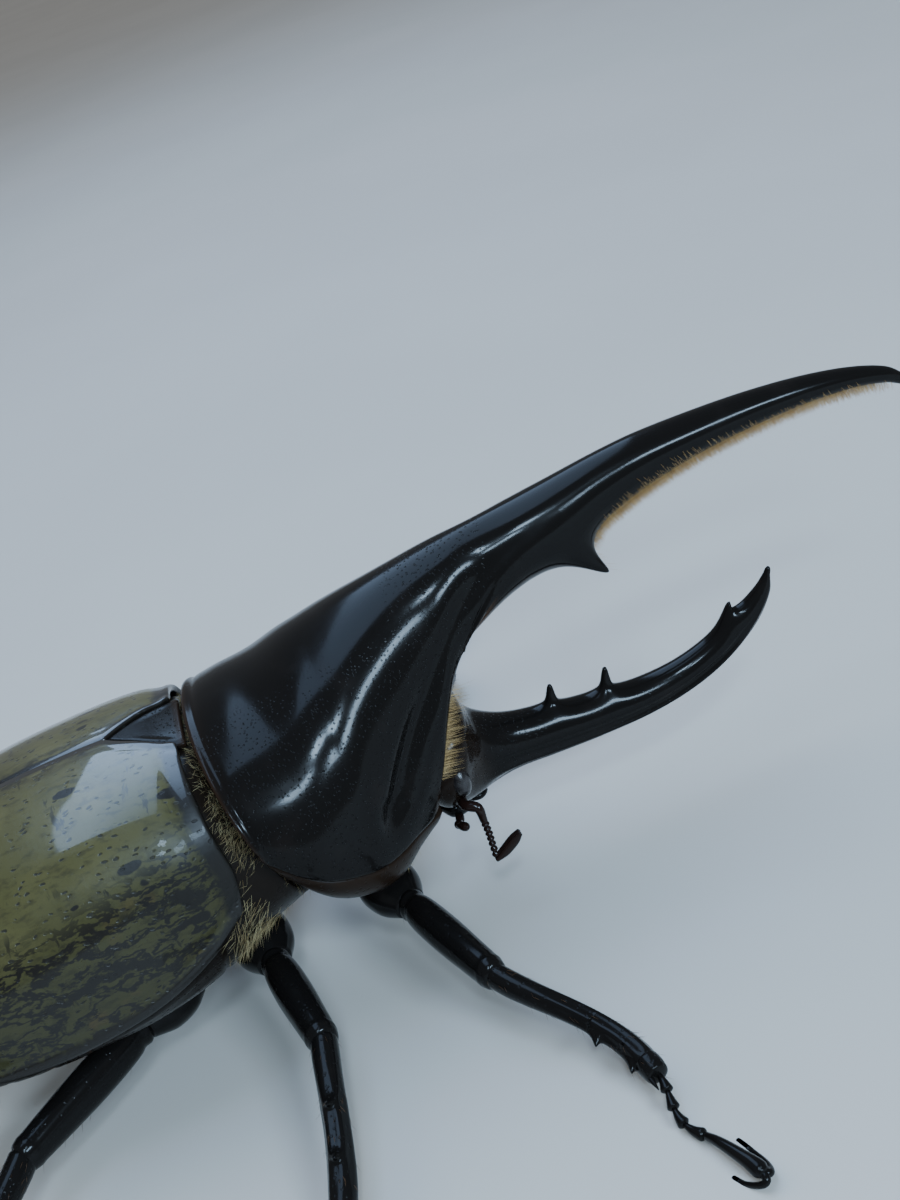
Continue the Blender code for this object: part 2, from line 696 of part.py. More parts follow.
def make_shin_teeth(kind, start, end, bow, shin, collection):
    """The teeth on the outer edge of a shin and the two spurs at its end."""
    run = (end - start).normalized()
    across = Vector((0, 0, 1)).cross(run).normalized()
    if kind == "fore":
        outer = across if across.x < 0 else -across
    else:
        outer = run.cross(across).normalized()
    teeth = []
    for share in LEGS[kind]["teeth"]:
        root = bowed(start, end, bow, share) + outer * shin * 0.15
        tip = bowed(start, end, bow, share) + outer * (shin * 0.75 + 0.9) + run * 1.0
        teeth.append(spike(root, tip, 0.95, 5, collection))
    behind = across if across.x < 0 else -across
    for aside in (behind,) if kind == "fore" else (behind, -behind):
        root = end - run * 1.2 + aside * shin * 0.3
        tip = end + run * 0.8 + aside * (shin * 0.7 + 0.4)
        teeth.append(spike(root, tip, 0.5, 5, collection))
    return teeth


def make_claw(toe, run, aside, reach, swing, collection):
    """One claw: a hook that swings aside and back, and comes down to just below the floor."""
    path = []
    for share in (0.0, 0.2, 0.4, 0.6, 0.8, 1.0):
        turn = share * math.radians(170)
        place = toe - run * 0.6 + run * 1.7 * math.sin(turn) - run * reach * share ** 2
        place += aside * swing * (1 - math.cos(turn)) / 2
        place += Vector((0, 0, -(STANCE + toe.z + 0.25) * share ** 1.5))
        thick = 0.5 * (1 - 0.55 * share)
        path.append((*place, thick, thick))
    return place_object("claw", loft(tube(path, 6)), collection)


def make_foot(name, start, bend, toe, drop, sole, facing, collection):
    """A foot: four short beads, a long last joint and two claws that end in flats."""
    rows = []
    for bead in range(BEADS):
        for share, wide in BEAD_FORM:
            wide = 0.85 if bead + share == 0 else wide
            place = bowed(start, bend, drop, (bead + share) / BEADS)
            rows.append((*place, sole * wide, sole * wide))
    for share, wide in LAST_JOINT_FORM:
        arch = Vector((0, 0, 0.5 * math.sin(math.pi * share)))
        rows.append((*(bend.lerp(toe, share) + arch), sole * wide, sole * wide))
    rings = tube(rows, 8)
    rings[0] = turned(rings[0], rings[1], facing)
    foot = place_object(name, loft(rings), collection)
    run = (toe - bend).normalized()
    ahead = Vector((0, 0, 1)).cross(run).normalized()
    ahead = ahead if ahead.x > 0 else -ahead
    combine(foot, [make_claw(toe, run, ahead * way, reach, swing, collection) for way, reach, swing in CLAWS])
    slice_off(foot, Vector((0, 0, 0)), Vector((0, 0, -1)))
    return foot


def make_leg(kind, label, side, collection):
    """One leg in four pieces: hip, thigh, shin and foot."""
    sizes = LEGS[kind]
    places = ("hip", "knee", "ankle", "bend", "toe", "bow", "drop")
    hip, knee, ankle, bend, toe, bow, drop = (on_side(sizes[place], side) for place in places)
    straight = Vector((0, 0, 0))
    down = (knee - hip).normalized()
    out = (ankle - knee).normalized()
    knee_face = (down + out).normalized()
    ankle_face = (out + (bend - ankle).normalized()).normalized()
    half_gap = GAP / 2 + 0.04
    seat = hip + down * HIP_REACH
    coxa = limb(f"{kind}_coxa_{label}", hip - down * HIP_DEPTH, seat - down * half_gap, straight,
                sizes["hip_size"], HIP_FORM, 12, (down, down), collection)
    femur = limb(f"{kind}_femur_{label}", seat + down * half_gap, knee - down * half_gap, straight,
                 sizes["thigh"], THIGH_FORM, 12, (down, knee_face), collection)
    start = knee + out * half_gap
    end = ankle - out * half_gap
    tibia = limb(f"{kind}_tibia_{label}", start, end, bow,
                 sizes["shin"], SHIN_FORM, 10, (knee_face, ankle_face), collection)
    combine(tibia, make_shin_teeth(kind, start, end, bow, sizes["shin"], collection))
    foot = make_foot(f"{kind}_tarsus_{label}", ankle + ankle_face * half_gap, bend, toe, drop,
                     sizes["sole"], ankle_face, collection)
    return coxa, femur, tibia, foot


def build():
    """Makes every node of the beetle."""
    for thing in list(bpy.data.objects):
        bpy.data.objects.remove(thing)
    beetle = bpy.data.collections.new("hercules_beetle")
    bpy.context.scene.collection.children.link(beetle)
    root = bpy.data.objects.new("beetle", None)
    beetle.objects.link(root)

    shell_black = (0.012, 0.010, 0.009)
    olive = (0.19, 0.16, 0.055)
    red_brown = (0.05, 0.02, 0.012)
    shield, long_horn = make_shield(beetle)
    breast = make_breast(beetle)
    head = make_head(beetle)
    head_horn = make_head_horn(beetle)
    mouth = make_mouth(beetle)
    thorax = make_thorax(beetle)
    abdomen = make_abdomen(beetle)
    tail = make_tail(beetle)
    plate = make_scutellum(beetle)
    for label, side in SIDES:
        finish_node(make_eye("eye_" + label, side, head, beetle), red_brown, 0.2, root)
        finish_node(make_antenna("antenna_" + label, side, head, beetle), red_brown, 0.3, root)
        finish_node(make_palp("palp_" + label, side, mouth, beetle), red_brown, 0.3, root)
        finish_node(make_mandible("mandible_" + label, side, beetle), shell_black, 0.25, root)
        finish_node(make_wing_case("elytron_" + label, side, beetle), olive, 0.25, root)
    for kind, body in (("fore", breast), ("middle", thorax), ("hind", thorax)):
        for label, side in SIDES:
            hip = on_side(LEGS[kind]["hip"], side)
            down = (on_side(LEGS[kind]["knee"], side) - hip).normalized()
            radius = LEGS[kind]["hip_size"] * 1.14 + GAP
            cut_socket(body, hip - down * (HIP_DEPTH + GAP), down, radius, 7.0, beetle)
            for piece in make_leg(kind, label, side, beetle):
                finish_node(piece, shell_black, 0.22, root)
    for piece, roughness in ((shield, 0.14), (long_horn, 0.16), (breast, 0.3), (head, 0.25), (mouth, 0.3),
                             (head_horn, 0.16), (thorax, 0.35), (abdomen, 0.3), (tail, 0.3), (plate, 0.3)):
        finish_node(piece, shell_black, roughness, root)


build()
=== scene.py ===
"""The looks of a life-size male Hercules beetle that stands on its six feet.

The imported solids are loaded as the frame, and a finer piece takes the place of each: one skin
for the shield and its long horn, one for the head and its horn, spotted wing cases, jointed
legs, feelers and mouth, and golden bristles. Places on the body are in millimetres: forward from
the hind edge of the shield, left from the middle, and up from the side edges of the wing cases.
"""

import enum
import logging
import math
from dataclasses import dataclass, field

import bmesh
import bpy
import numpy as np
from mathutils import Matrix, Quaternion, Vector


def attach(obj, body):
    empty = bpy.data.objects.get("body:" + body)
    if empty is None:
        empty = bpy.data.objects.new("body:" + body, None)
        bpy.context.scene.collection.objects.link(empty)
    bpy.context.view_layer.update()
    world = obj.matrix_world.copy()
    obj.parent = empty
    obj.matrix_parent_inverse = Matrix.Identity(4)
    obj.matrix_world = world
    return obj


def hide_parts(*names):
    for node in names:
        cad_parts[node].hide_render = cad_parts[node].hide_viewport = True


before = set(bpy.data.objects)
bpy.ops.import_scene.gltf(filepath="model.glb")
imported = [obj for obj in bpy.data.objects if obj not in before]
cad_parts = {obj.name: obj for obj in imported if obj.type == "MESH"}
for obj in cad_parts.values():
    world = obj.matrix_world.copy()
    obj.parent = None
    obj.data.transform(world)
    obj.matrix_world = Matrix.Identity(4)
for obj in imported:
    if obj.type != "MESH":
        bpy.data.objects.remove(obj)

LOG = logging.getLogger("beetle")
Row = tuple[float, ...]

MM = 0.001
STANCE = 20.0              # the side edges of the wing cases above the floor
MIDDLE = 17.15             # the forward place of the middle of the whole length
UPWARD = (0.0, 0.0, 1.0)
TUFT_PATCH = 0.003         # the share of the unwrapped skin that one bristle is coloured from

# The dome of the wing cases: forward, half width, top, edge, and how square it stands.
DOME: tuple[Row, ...] = (
    (-2.4, 16.4, 16.3, 1.0, 0.68),
    (-7.0, 18.5, 17.0, -1.6, 0.68),
    (-14.0, 19.9, 17.3, -3.8, 0.72),
    (-24.0, 20.4, 16.8, -4.8, 0.76),
    (-34.0, 19.6, 14.6, -4.6, 0.78),
    (-42.0, 16.6, 11.0, -4.0, 0.80),
    (-47.5, 12.2, 6.6, -3.4, 0.84),
    (-50.6, 7.6, 2.6, -2.9, 0.84),
    (-52.0, 3.4, -0.4, -2.6, 0.84),
    (-52.6, 2.1, -1.5, -2.6, 0.84),
    (-52.9, 1.0, -2.2, -2.6, 0.84),
)
DOME_ENDS = (-52.0, -2.4)  # the forward places between which the body below follows the dome
# The shield and the horn that it draws out into: top forward and up, edge forward and up, half
# width at the edge, depth below the edge, and how the flank bows.
SHIELD: tuple[Row, ...] = (
    (-1.0, 16.6, 1.8, 5.5, 17.0, 0.0, 0.92),
    (3.0, 17.5, 4.8, 2.6, 17.9, 0.0, 0.92),
    (7.4, 18.2, 7.2, 1.0, 18.2, 0.0, 0.94),
    (12.0, 19.8, 9.8, -0.2, 17.8, 0.0, 0.98),
    (16.5, 21.0, 12.6, -1.2, 16.8, 0.0, 1.02),
    (20.5, 22.0, 15.4, -1.9, 14.6, 0.0, 1.05),
    (24.0, 22.7, 18.2, -2.1, 11.9, 0.0, 1.10),
    (27.0, 23.2, 20.8, -2.4, 9.8, 0.0, 1.15),
    (29.0, 23.5, 22.0, 0.2, 9.6, 0.0, 1.20),
    (31.0, 23.8, 23.5, 3.5, 8.8, 0.0, 1.20),
    (33.0, 24.0, 25.1, 7.0, 7.4, 0.0, 1.15),
    (34.5, 24.1, 27.4, 10.3, 6.1, 0.4, 1.10),
    (36.0, 24.3, 31.8, 15.2, 5.3, 3.4, 1.0),
    (38.2, 24.5, 36.2, 17.9, 4.9, 3.7, 1.0),
    (41.0, 24.8, 40.6, 20.0, 4.5, 4.4, 1.0),
    (45.5, 25.3, 45.3, 20.8, 4.0, 4.5, 1.0),
    (50.0, 25.9, 50.0, 22.2, 3.3, 3.7, 1.0),
    (55.5, 26.3, 55.5, 23.3, 2.9, 3.1, 1.0),
    (62.0, 26.2, 62.0, 23.8, 2.6, 2.4, 1.0),
    (69.0, 25.8, 69.0, 23.8, 2.2, 1.9, 1.0),
    (75.5, 25.0, 75.4, 23.4, 1.8, 1.5, 1.0),
    (81.1, 23.8, 80.9, 22.5, 1.35, 1.1, 1.0),
    (85.3, 22.2, 84.9, 21.2, 0.95, 0.8, 1.0),
    (87.5, 20.3, 87.0, 19.8, 0.55, 0.5, 1.0),
)
# The head and its horn: middle forward and up, half height, half width, lean in degrees, and
# how round the section is.
HEAD: tuple[Row, ...] = (
    (18.6, 1.8, 4.4, 6.6, 26.0, 0.9),
    (20.6, 1.3, 5.6, 7.8, 28.0, 0.88),
    (22.85, 0.35, 6.2, 8.3, 28.0, 0.85),
    (24.3, -1.0, 6.3, 8.0, 27.0, 0.85),
    (26.0, -2.0, 5.7, 6.0, 16.0, 0.85),
    (28.2, -2.8, 4.6, 4.1, 2.0, 0.9),
    (31.5, -3.7, 3.6, 3.2, 0.0, 1.0),
    (36.0, -4.5, 3.15, 2.8, 0.0, 1.0),
    (42.0, -5.2, 2.75, 2.5, 0.0, 1.0),
    (48.0, -5.5, 2.4, 2.2, 0.0, 1.0),
    (53.5, -4.9, 2.15, 1.9, -10.0, 1.0),
    (58.5, -3.3, 1.95, 1.65, -22.0, 1.0),
    (62.5, -1.0, 1.6, 1.35, -36.0, 1.0),
    (65.2, 1.5, 1.0, 0.9, -50.0, 1.0),
    (66.3, 3.4, 0.4, 0.4, -62.0, 1.0),
)
# Under the shield's first rows: how low the breast reaches, and how far forward it leans.
BREAST: tuple[Row, ...] = (
    (-7.4, 4.4),
    (-8.8, 2.2),
    (-9.8, 1.2),
    (-10.4, 0.5),
    (-10.6, 0.0),
    (-10.4, -0.9),
    (-9.6, -2.4),
    (-8.0, -3.1),
)


def place(points: np.ndarray) -> np.ndarray:
    """Gives the scene's places of places on the body.

    Args:
        points: forward, left and up in millimetres, along the last axis.

    Returns:
        The places in metres in the scene.
    """
    points = np.asarray(points, float)
    return np.stack([points[..., 1], MIDDLE - points[..., 0], points[..., 2] + STANCE], -1) * MM


def heading(directions: np.ndarray) -> np.ndarray:
    """Turns directions on the body into the scene's.

    Args:
        directions: forward, left and up, along the last axis.

    Returns:
        The same directions in the scene.
    """
    directions = np.asarray(directions, float)
    return np.stack([directions[..., 1], -directions[..., 0], directions[..., 2]], -1)


def curve(rows: np.ndarray | tuple, places: np.ndarray) -> np.ndarray:
    """Reads a smooth curve through rows of numbers.

    Args:
        rows: the rows that the curve goes through.
        places: where to read it, in rows from the first.

    Returns:
        One row of numbers for each place.
    """
    table = np.asarray(rows, float)
    table = np.vstack([2 * table[0] - table[1], table, 2 * table[-1] - table[-2]])
    places = np.asarray(places, float)
    first = np.clip(places.astype(int), 0, len(table) - 4)
    t = (places - first)[:, None]
    a, b, c, d = (table[first + k] for k in range(4))
    return 0.5 * (2 * b + (c - a) * t + (2 * a - 5 * b + 4 * c - d) * t ** 2
                  + (3 * b - a - 3 * c + d) * t ** 3)


def reading(rows: tuple[Row, ...], keys: np.ndarray) -> np.ndarray:
    """Reads a smooth curve where its first number has given values.

    Args:
        rows: the rows that the curve goes through, with falling or rising first numbers.
        keys: the values of the first number.

    Returns:
        One row of numbers for each key.
    """
    fine = curve(rows, np.linspace(0, len(rows) - 1, 40 * len(rows)))
    order = np.argsort(fine[:, 0])
    return np.stack([np.interp(keys, fine[order, 0], fine[order, k]) for k in range(fine.shape[1])], -1)


def calm(rows: tuple[Row, ...], places: np.ndarray, spread: float, zone: Row) -> np.ndarray:
    """Reads the smooth curve through some rows, evened out more in one zone.

    Args:
        rows: the rows that the curve goes through.
        places: where to read it, in rows from the first.
        spread: over how many rows it is evened out.
        zone: where the evening out begins, is full, is full to, and ends.

    Returns:
        One row of numbers for each place.
    """
    plain = curve(rows, places)
    offsets = np.linspace(-2.0, 2.0, 17)
    weights = np.exp(-offsets ** 2 / 2)
    reads = [curve(rows, np.clip(places + o * spread, 0, len(rows) - 1)) for o in offsets]
    even = np.tensordot(weights / weights.sum(), np.stack(reads), 1)
    return plain + band(places, *zone)[:, None] * (even - plain)


def spans(*runs: tuple[float, float, int]) -> np.ndarray:
    """Joins runs of even steps.

    Args:
        runs: the start, the end and the number of steps of each run.

    Returns:
        The steps, with the last run's end.
    """
    parts = [np.linspace(start, end, count, endpoint=False) for start, end, count in runs]
    return np.concatenate([*parts, [runs[-1][1]]])


def power(value: np.ndarray, exponent: float | np.ndarray) -> np.ndarray:
    """Raises the size of each value to an exponent and keeps its sign."""
    return np.sign(value) * np.abs(value) ** exponent


def ramp(low: float, high: float, value: np.ndarray) -> np.ndarray:
    """Rises smoothly from 0 to 1 while the value goes from low to high."""
    share = np.clip((value - low) / (high - low), 0, 1)
    return share * share * (3 - 2 * share)


def hump(value: np.ndarray, centre: float, width: float) -> np.ndarray:
    """A smooth hump of height 1 round a centre."""
    return np.exp(-((value - centre) / width) ** 2)


def beading(away: np.ndarray, bead: Row, groove: Row) -> np.ndarray:
    """A raised bead with a groove beside it; each has its size, place and width."""
    return bead[0] * hump(away, *bead[1:]) - groove[0] * hump(away, *groove[1:])


def band(value: np.ndarray, start: float, full: float, last: float, end: float) -> np.ndarray:
    """Rises smoothly from 0 at start to 1 at full, and falls again from last to end."""
    return ramp(start, full, value) * ramp(end, last, value)


def fields(rows: np.ndarray) -> list[np.ndarray]:
    """The columns of a table, each ready to be spread along rings."""
    return [rows[:, k, None] for k in range(rows.shape[1])]


def turns(count: int) -> np.ndarray:
    """Even turns round a full circle, in radians."""
    return np.arange(count) / count * math.tau


def put(name: str, data: bpy.types.ID) -> bpy.types.Object:
    """Links a new object with some data to the scene."""
    thing = bpy.data.objects.new(name, data)
    bpy.context.scene.collection.objects.link(thing)
    return thing


def aimed(direction: Vector) -> Quaternion:
    """The rotation of a lamp that shines in a direction."""
    return direction.to_track_quat("-Z", "Y")


class Side(enum.Enum):
    """A side of the body."""

    LEFT = 1
    RIGHT = -1

    @property
    def label(self) -> str:
        """The word that ends the names of this side's pieces."""
        return self.name.lower()

    def of(self, points: np.ndarray | Row) -> np.ndarray:
        """Moves places on the left of the body to this side."""
        return np.asarray(points, float) * np.array([1.0, self.value, 1.0])


class Slot(enum.Enum):
    """The material slots, one for each kind of surface."""

    SHIELD = "shield"
    HEAD = "head_shell"
    WING_CASE = "wing_case"
    SCUTELLUM = "scutellum"
    UNDERSIDE = "underside"
    LEG = "leg"
    FEELER = "feeler"
    EYE = "eye"


@dataclass
class Patch:
    """A sheet of places in rings and columns that becomes a skin."""

    rings: np.ndarray
    closed: bool = True
    caps: bool = True
    marks: dict[str, np.ndarray] = field(default_factory=dict)

    def normals(self) -> np.ndarray:
        """The outward direction at each place, worked out from its neighbours."""
        along = np.gradient(self.rings, axis=0)
        if self.closed:
            across = np.roll(self.rings, -1, 1) - np.roll(self.rings, 1, 1)
        else:
            across = np.gradient(self.rings, axis=1)
        normal = np.cross(across, along)
        normal /= np.maximum(np.linalg.norm(normal, axis=-1, keepdims=True), 1e-9)
        outward = (normal * (self.rings - self.rings.mean(1, keepdims=True))).sum()
        return normal if outward > 0 else -normal

    def lift(self, height: np.ndarray) -> None:
        """Raises the skin along its normals by a height at each place."""
        self.rings = self.rings + self.normals() * height[..., None]

    def run(self) -> np.ndarray:
        """The distance of each place from its ring's first column, along the ring."""
        step = np.linalg.norm(np.diff(self.rings, axis=1), axis=-1)
        return np.concatenate([np.zeros((len(self.rings), 1)), np.cumsum(step, 1)], 1)

    def pull(self, root: Row, tip: Row, width: float, exponent: float = 2.4) -> None:
        """Draws the skin round a root out to a tooth.

        Args:
            root: the place that the tooth stands on.
            tip: the tooth's tip.
            width: the tooth's half width at half its height.
            exponent: how steep its sides stand.
        """
        away = np.linalg.norm(self.rings - np.array(root), axis=-1)
        start = self.rings[np.unravel_index(np.argmin(away), away.shape)]
        away = np.linalg.norm(self.rings - start, axis=-1)
        rest = 1 / (1 + 5.0 ** exponent)
        share = np.clip((1 / (1 + (away / width) ** exponent) - rest) / (1 - rest), 0, 1)
        self.rings = self.rings + share[..., None] * (np.array(tip) - start)

    def soften(self, columns: tuple[int, ...], reach: float, passes: int) -> None:
        """Rounds the corners of the rings at some columns.

        Args:
            columns: the corners' columns.
            reach: how many columns beside them are rounded too.
            passes: how often the places move to the middle of their neighbours.
        """
        count = self.rings.shape[1]
        weight = np.zeros(count)
        for column in columns:
            away = np.abs(np.arange(count) - column)
            away = np.minimum(away, count - away)
            weight = np.maximum(weight, np.clip(1.5 - away / reach, 0, 1))
        for _ in range(passes):
            middle = (np.roll(self.rings, -1, 1) + np.roll(self.rings, 1, 1)) / 2
            self.rings = self.rings + weight[None, :, None] * (middle - self.rings)

    def even(self, weight: np.ndarray, passes: int) -> None:
        """Evens the skin out along its columns.

        Args:
            weight: how much each place takes part, from 0 to 1.
            passes: how often the places move towards the middle of their neighbours.
        """
        share = 0.5 * weight[1:-1, :, None]
        for _ in range(passes):
            middle = (self.rings[:-2] + self.rings[2:]) / 2
            self.rings[1:-1] += share * (middle - self.rings[1:-1])

    def round_end(self, depth: float, count: int = 5) -> "Patch":
        """Adds rings that close the last ring's end in a dome.

        Args:
            depth: how far the dome stands out.
            count: how many rings it takes.

        Returns:
            The skin itself.
        """
        end = self.rings[-1]
        centre = end.mean(0)
        out = centre - self.rings[-2].mean(0)
        out /= max(float(np.linalg.norm(out)), 1e-9)
        rises = np.arange(1, count + 1) / (count + 0.5) * math.pi / 2
        dome = [centre + (end - centre) * math.cos(t) + out * depth * math.sin(t) for t in rises]
        self.rings = np.concatenate([self.rings, np.stack(dome)])
        for name, mark in self.marks.items():
            self.marks[name] = np.concatenate([mark, np.repeat(mark[-1:], count, 0)])
        return self

    def round_ends(self, last: Row, first: Row) -> "Patch":
        """Closes both ends in domes.

        Args:
            last: the last dome's depth and, where it isn't 5, its number of rings.
            first: the same of the first one.

        Returns:
            The skin itself.
        """
        return self.round_end(*last).flip().round_end(*first).flip()

    def flip(self) -> "Patch":
        """Turns the order of the rings round."""
        self.rings = self.rings[::-1]
        self.marks = {name: mark[::-1] for name, mark in self.marks.items()}
        return self

    def fill(self, **marks: float | np.ndarray) -> None:
        """Gives every place values, under their names."""
        for name, value in marks.items():
            self.marks[name] = np.broadcast_to(value, self.rings.shape[:2]).astype(float)

    def lay(self, way: Row | np.ndarray) -> None:
        """Sets which way bristles lie: forward, left and up."""
        self.marks["lie"] = heading(np.broadcast_to(way, self.rings.shape))


def tube(stations: np.ndarray | list, sides: int, square: float = 1.0) -> Patch:
    """A closed skin round a path.

    Args:
        stations: forward, left, up, half height and half width of each ring.
        sides: the number of columns.
        square: under 1 the section is squarer than a circle.

    Returns:
        The skin, its rings square to the path.
    """
    rows = np.asarray(stations, float)
    run = np.gradient(rows[:, :3], axis=0)
    run /= np.linalg.norm(run, axis=1, keepdims=True)
    across = np.cross(UPWARD, run)
    across /= np.linalg.norm(across, axis=1, keepdims=True)
    rise = np.cross(run, across)
    angle = turns(sides)
    wide = power(np.cos(angle), square)[None, :, None] * rows[:, 4, None, None]
    high = power(np.sin(angle), square)[None, :, None] * rows[:, 3, None, None]
    return Patch(rows[:, None, :3] + across[:, None] * wide + rise[:, None] * high)


def fine_rows(rows: list | tuple | np.ndarray, count: int) -> np.ndarray:
    """Reads even steps from the smooth curve through some rows."""
    return curve(rows, np.linspace(0, len(rows) - 1, count))


def straight(start: np.ndarray, end: np.ndarray, form: tuple[Row, ...]) -> np.ndarray:
    """Stations of a straight limb, from the half width at each share of its length."""
    share, wide = np.array(form).T
    return np.column_stack([start + (end - start) * share[:, None], wide, wide])


def ring_stack(forward: np.ndarray, left: np.ndarray, up: np.ndarray) -> np.ndarray:
    """Joins forward, left and up, spread to one shape, into rings of places."""
    return np.stack(np.broadcast_arrays(forward, left, up), -1)


def make_mesh(name: str, patches: list[Patch], weld: bool = False) -> bpy.types.Object:
    """Makes one mesh object of skins.

    Args:
        name: the object's name.
        patches: the skins; each takes its own strip of the unwrap.
        weld: whether places that coincide become one.

    Returns:
        The object, at the origin, with its normals outwards.
    """
    points, faces, corners = [], [], []
    blank = {key: np.zeros_like(mark[0, 0]) for patch in patches for key, mark in patch.marks.items()}
    marks = {key: [] for key in sorted(blank)}
    first = 0
    for strip, patch in enumerate(patches):
        rings, columns = patch.rings.shape[:2]
        last = columns if patch.closed else columns - 1
        i, j = np.meshgrid(np.arange(rings - 1), np.arange(last), indexing="ij")
        k = (j + 1) % columns
        here, there = i * columns, (i + 1) * columns
        quads = np.stack([here + j, here + k, there + k, there + j], -1)
        faces += (quads.reshape(-1, 4) + first).tolist()
        across = (np.stack([j, j + 1, j + 1, j], -1) / last + strip) / len(patches)
        along = np.stack([i, i, i + 1, i + 1], -1) / (rings - 1)
        corners.append(np.stack([across, along], -1).reshape(-1, 2))
        points.append(place(patch.rings.reshape(-1, 3)))
        ends = (0, rings - 1) if patch.caps else ()
        for cap, ring in enumerate(ends):
            centre = first + rings * columns + cap
            row = first + ring * columns
            faces += [(row + c, row + (c + 1) % columns, centre) for c in range(columns)]
            points.append(place(patch.rings[ring].mean(0))[None])
            c = np.arange(columns)
            level = np.full(columns, ring / (rings - 1))
            whole = columns * len(patches)
            fan = [np.stack([(c + shift + strip * columns) / whole, level], -1) for shift in (0, 1, 0.5)]
            corners.append(np.stack(fan, 1).reshape(-1, 2))
        for key, values in marks.items():
            mark = patch.marks.get(key, np.broadcast_to(blank[key], (rings, columns, *blank[key].shape)))
            values.append(mark.reshape(rings * columns, -1))
            values += [mark[ring].mean(0).reshape(1, -1) for ring in ends]
        first += rings * columns + len(ends)
    mesh = bpy.data.meshes.new(name)
    mesh.from_pydata(np.concatenate(points).tolist(), [], faces)
    mesh.uv_layers.new(name="unwrap").data.foreach_set("uv", np.concatenate(corners).ravel())
    for key, values in marks.items():
        table = np.concatenate(values)
        kind, slot = ("FLOAT_VECTOR", "vector") if table.shape[1] == 3 else ("FLOAT", "value")
        mesh.attributes.new(key, kind, "POINT").data.foreach_set(slot, table.astype(np.float32).ravel())
    work = bmesh.new()
    work.from_mesh(mesh)
    if weld:
        bmesh.ops.remove_doubles(work, verts=work.verts, dist=1e-6)
        bmesh.ops.dissolve_degenerate(work, edges=work.edges, dist=1e-7)
    bmesh.ops.recalc_face_normals(work, faces=work.faces)
    work.to_mesh(mesh)
    work.free()
    mesh.shade_smooth()
    return put(name, mesh)


def finish_piece(thing: bpy.types.Object, finish: "Finish", slot: Slot, *nodes: str) -> bpy.types.Object:
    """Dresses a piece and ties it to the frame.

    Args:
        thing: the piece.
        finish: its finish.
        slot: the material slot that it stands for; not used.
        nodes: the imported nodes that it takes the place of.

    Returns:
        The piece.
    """
    thing.data.materials.clear()
    thing.data.materials.append(finish.material())
    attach(thing, "root")
    if nodes:
        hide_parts(*nodes)
    LOG.info("%s: %d triangles", thing.name, sum(len(p.vertices) - 2 for p in thing.data.polygons))
    return thing


class Wire:
    """An output socket of a node tree; arithmetic on it adds Math nodes."""

    def __init__(self, sheet: "Sheet", socket: bpy.types.NodeSocket) -> None:
        """Keeps the socket and the sheet that it is on."""
        self.sheet = sheet
        self.socket = socket

    def also(self, name: str) -> "Wire":
        """Another output of the same node."""
        return Wire(self.sheet, self.socket.node.outputs[name])

    def _join(self, operation: str, first: "Wire | float", second: "Wire | float") -> "Wire":
        """Adds a Math node, or a Vector Math node where a vector is among the two."""
        vector = any(isinstance(x, Wire) and x.socket.type in ("VECTOR", "RGBA") for x in (first, second))
        if not vector:
            return self.sheet.add("ShaderNodeMath", {"operation": operation}, {0: first, 1: second})
        pair = [(x,) * 3 if isinstance(x, (int, float)) else x for x in (first, second)]
        return self.sheet.add("ShaderNodeVectorMath", {"operation": operation}, {0: pair[0], 1: pair[1]})

    def __add__(self, other: "Wire | float") -> "Wire":
        """The sum."""
        return self._join("ADD", self, other)

    __radd__ = __add__

    def __mul__(self, other: "Wire | float") -> "Wire":
        """The product."""
        return self._join("MULTIPLY", self, other)

    __rmul__ = __mul__

    def __sub__(self, other: "Wire | float") -> "Wire":
        """The difference."""
        return self._join("SUBTRACT", self, other)

    def __rsub__(self, other: "Wire | float") -> "Wire":
        """The difference, the other way round."""
        return self._join("SUBTRACT", other, self)

    def most(self, other: "Wire | float") -> "Wire":
        """The larger of two values."""
        return self._join("MAXIMUM", self, other)

    def least(self, other: "Wire | float") -> "Wire":
        """The smaller of two values."""
        return self._join("MINIMUM", self, other)

    def size(self) -> "Wire":
        """The value without its sign."""
        return self.sheet.add("ShaderNodeMath", {"operation": "ABSOLUTE"}, {0: self})

    def rise(self, low: "Wire | float", high: "Wire | float") -> "Wire":
        """Rises smoothly from 0 to 1 while this value goes from low to high."""
        return self.sheet.add("ShaderNodeMapRange", {"interpolation_type": "SMOOTHSTEP"},
                              {"Value": self, "From Min": low, "From Max": high})


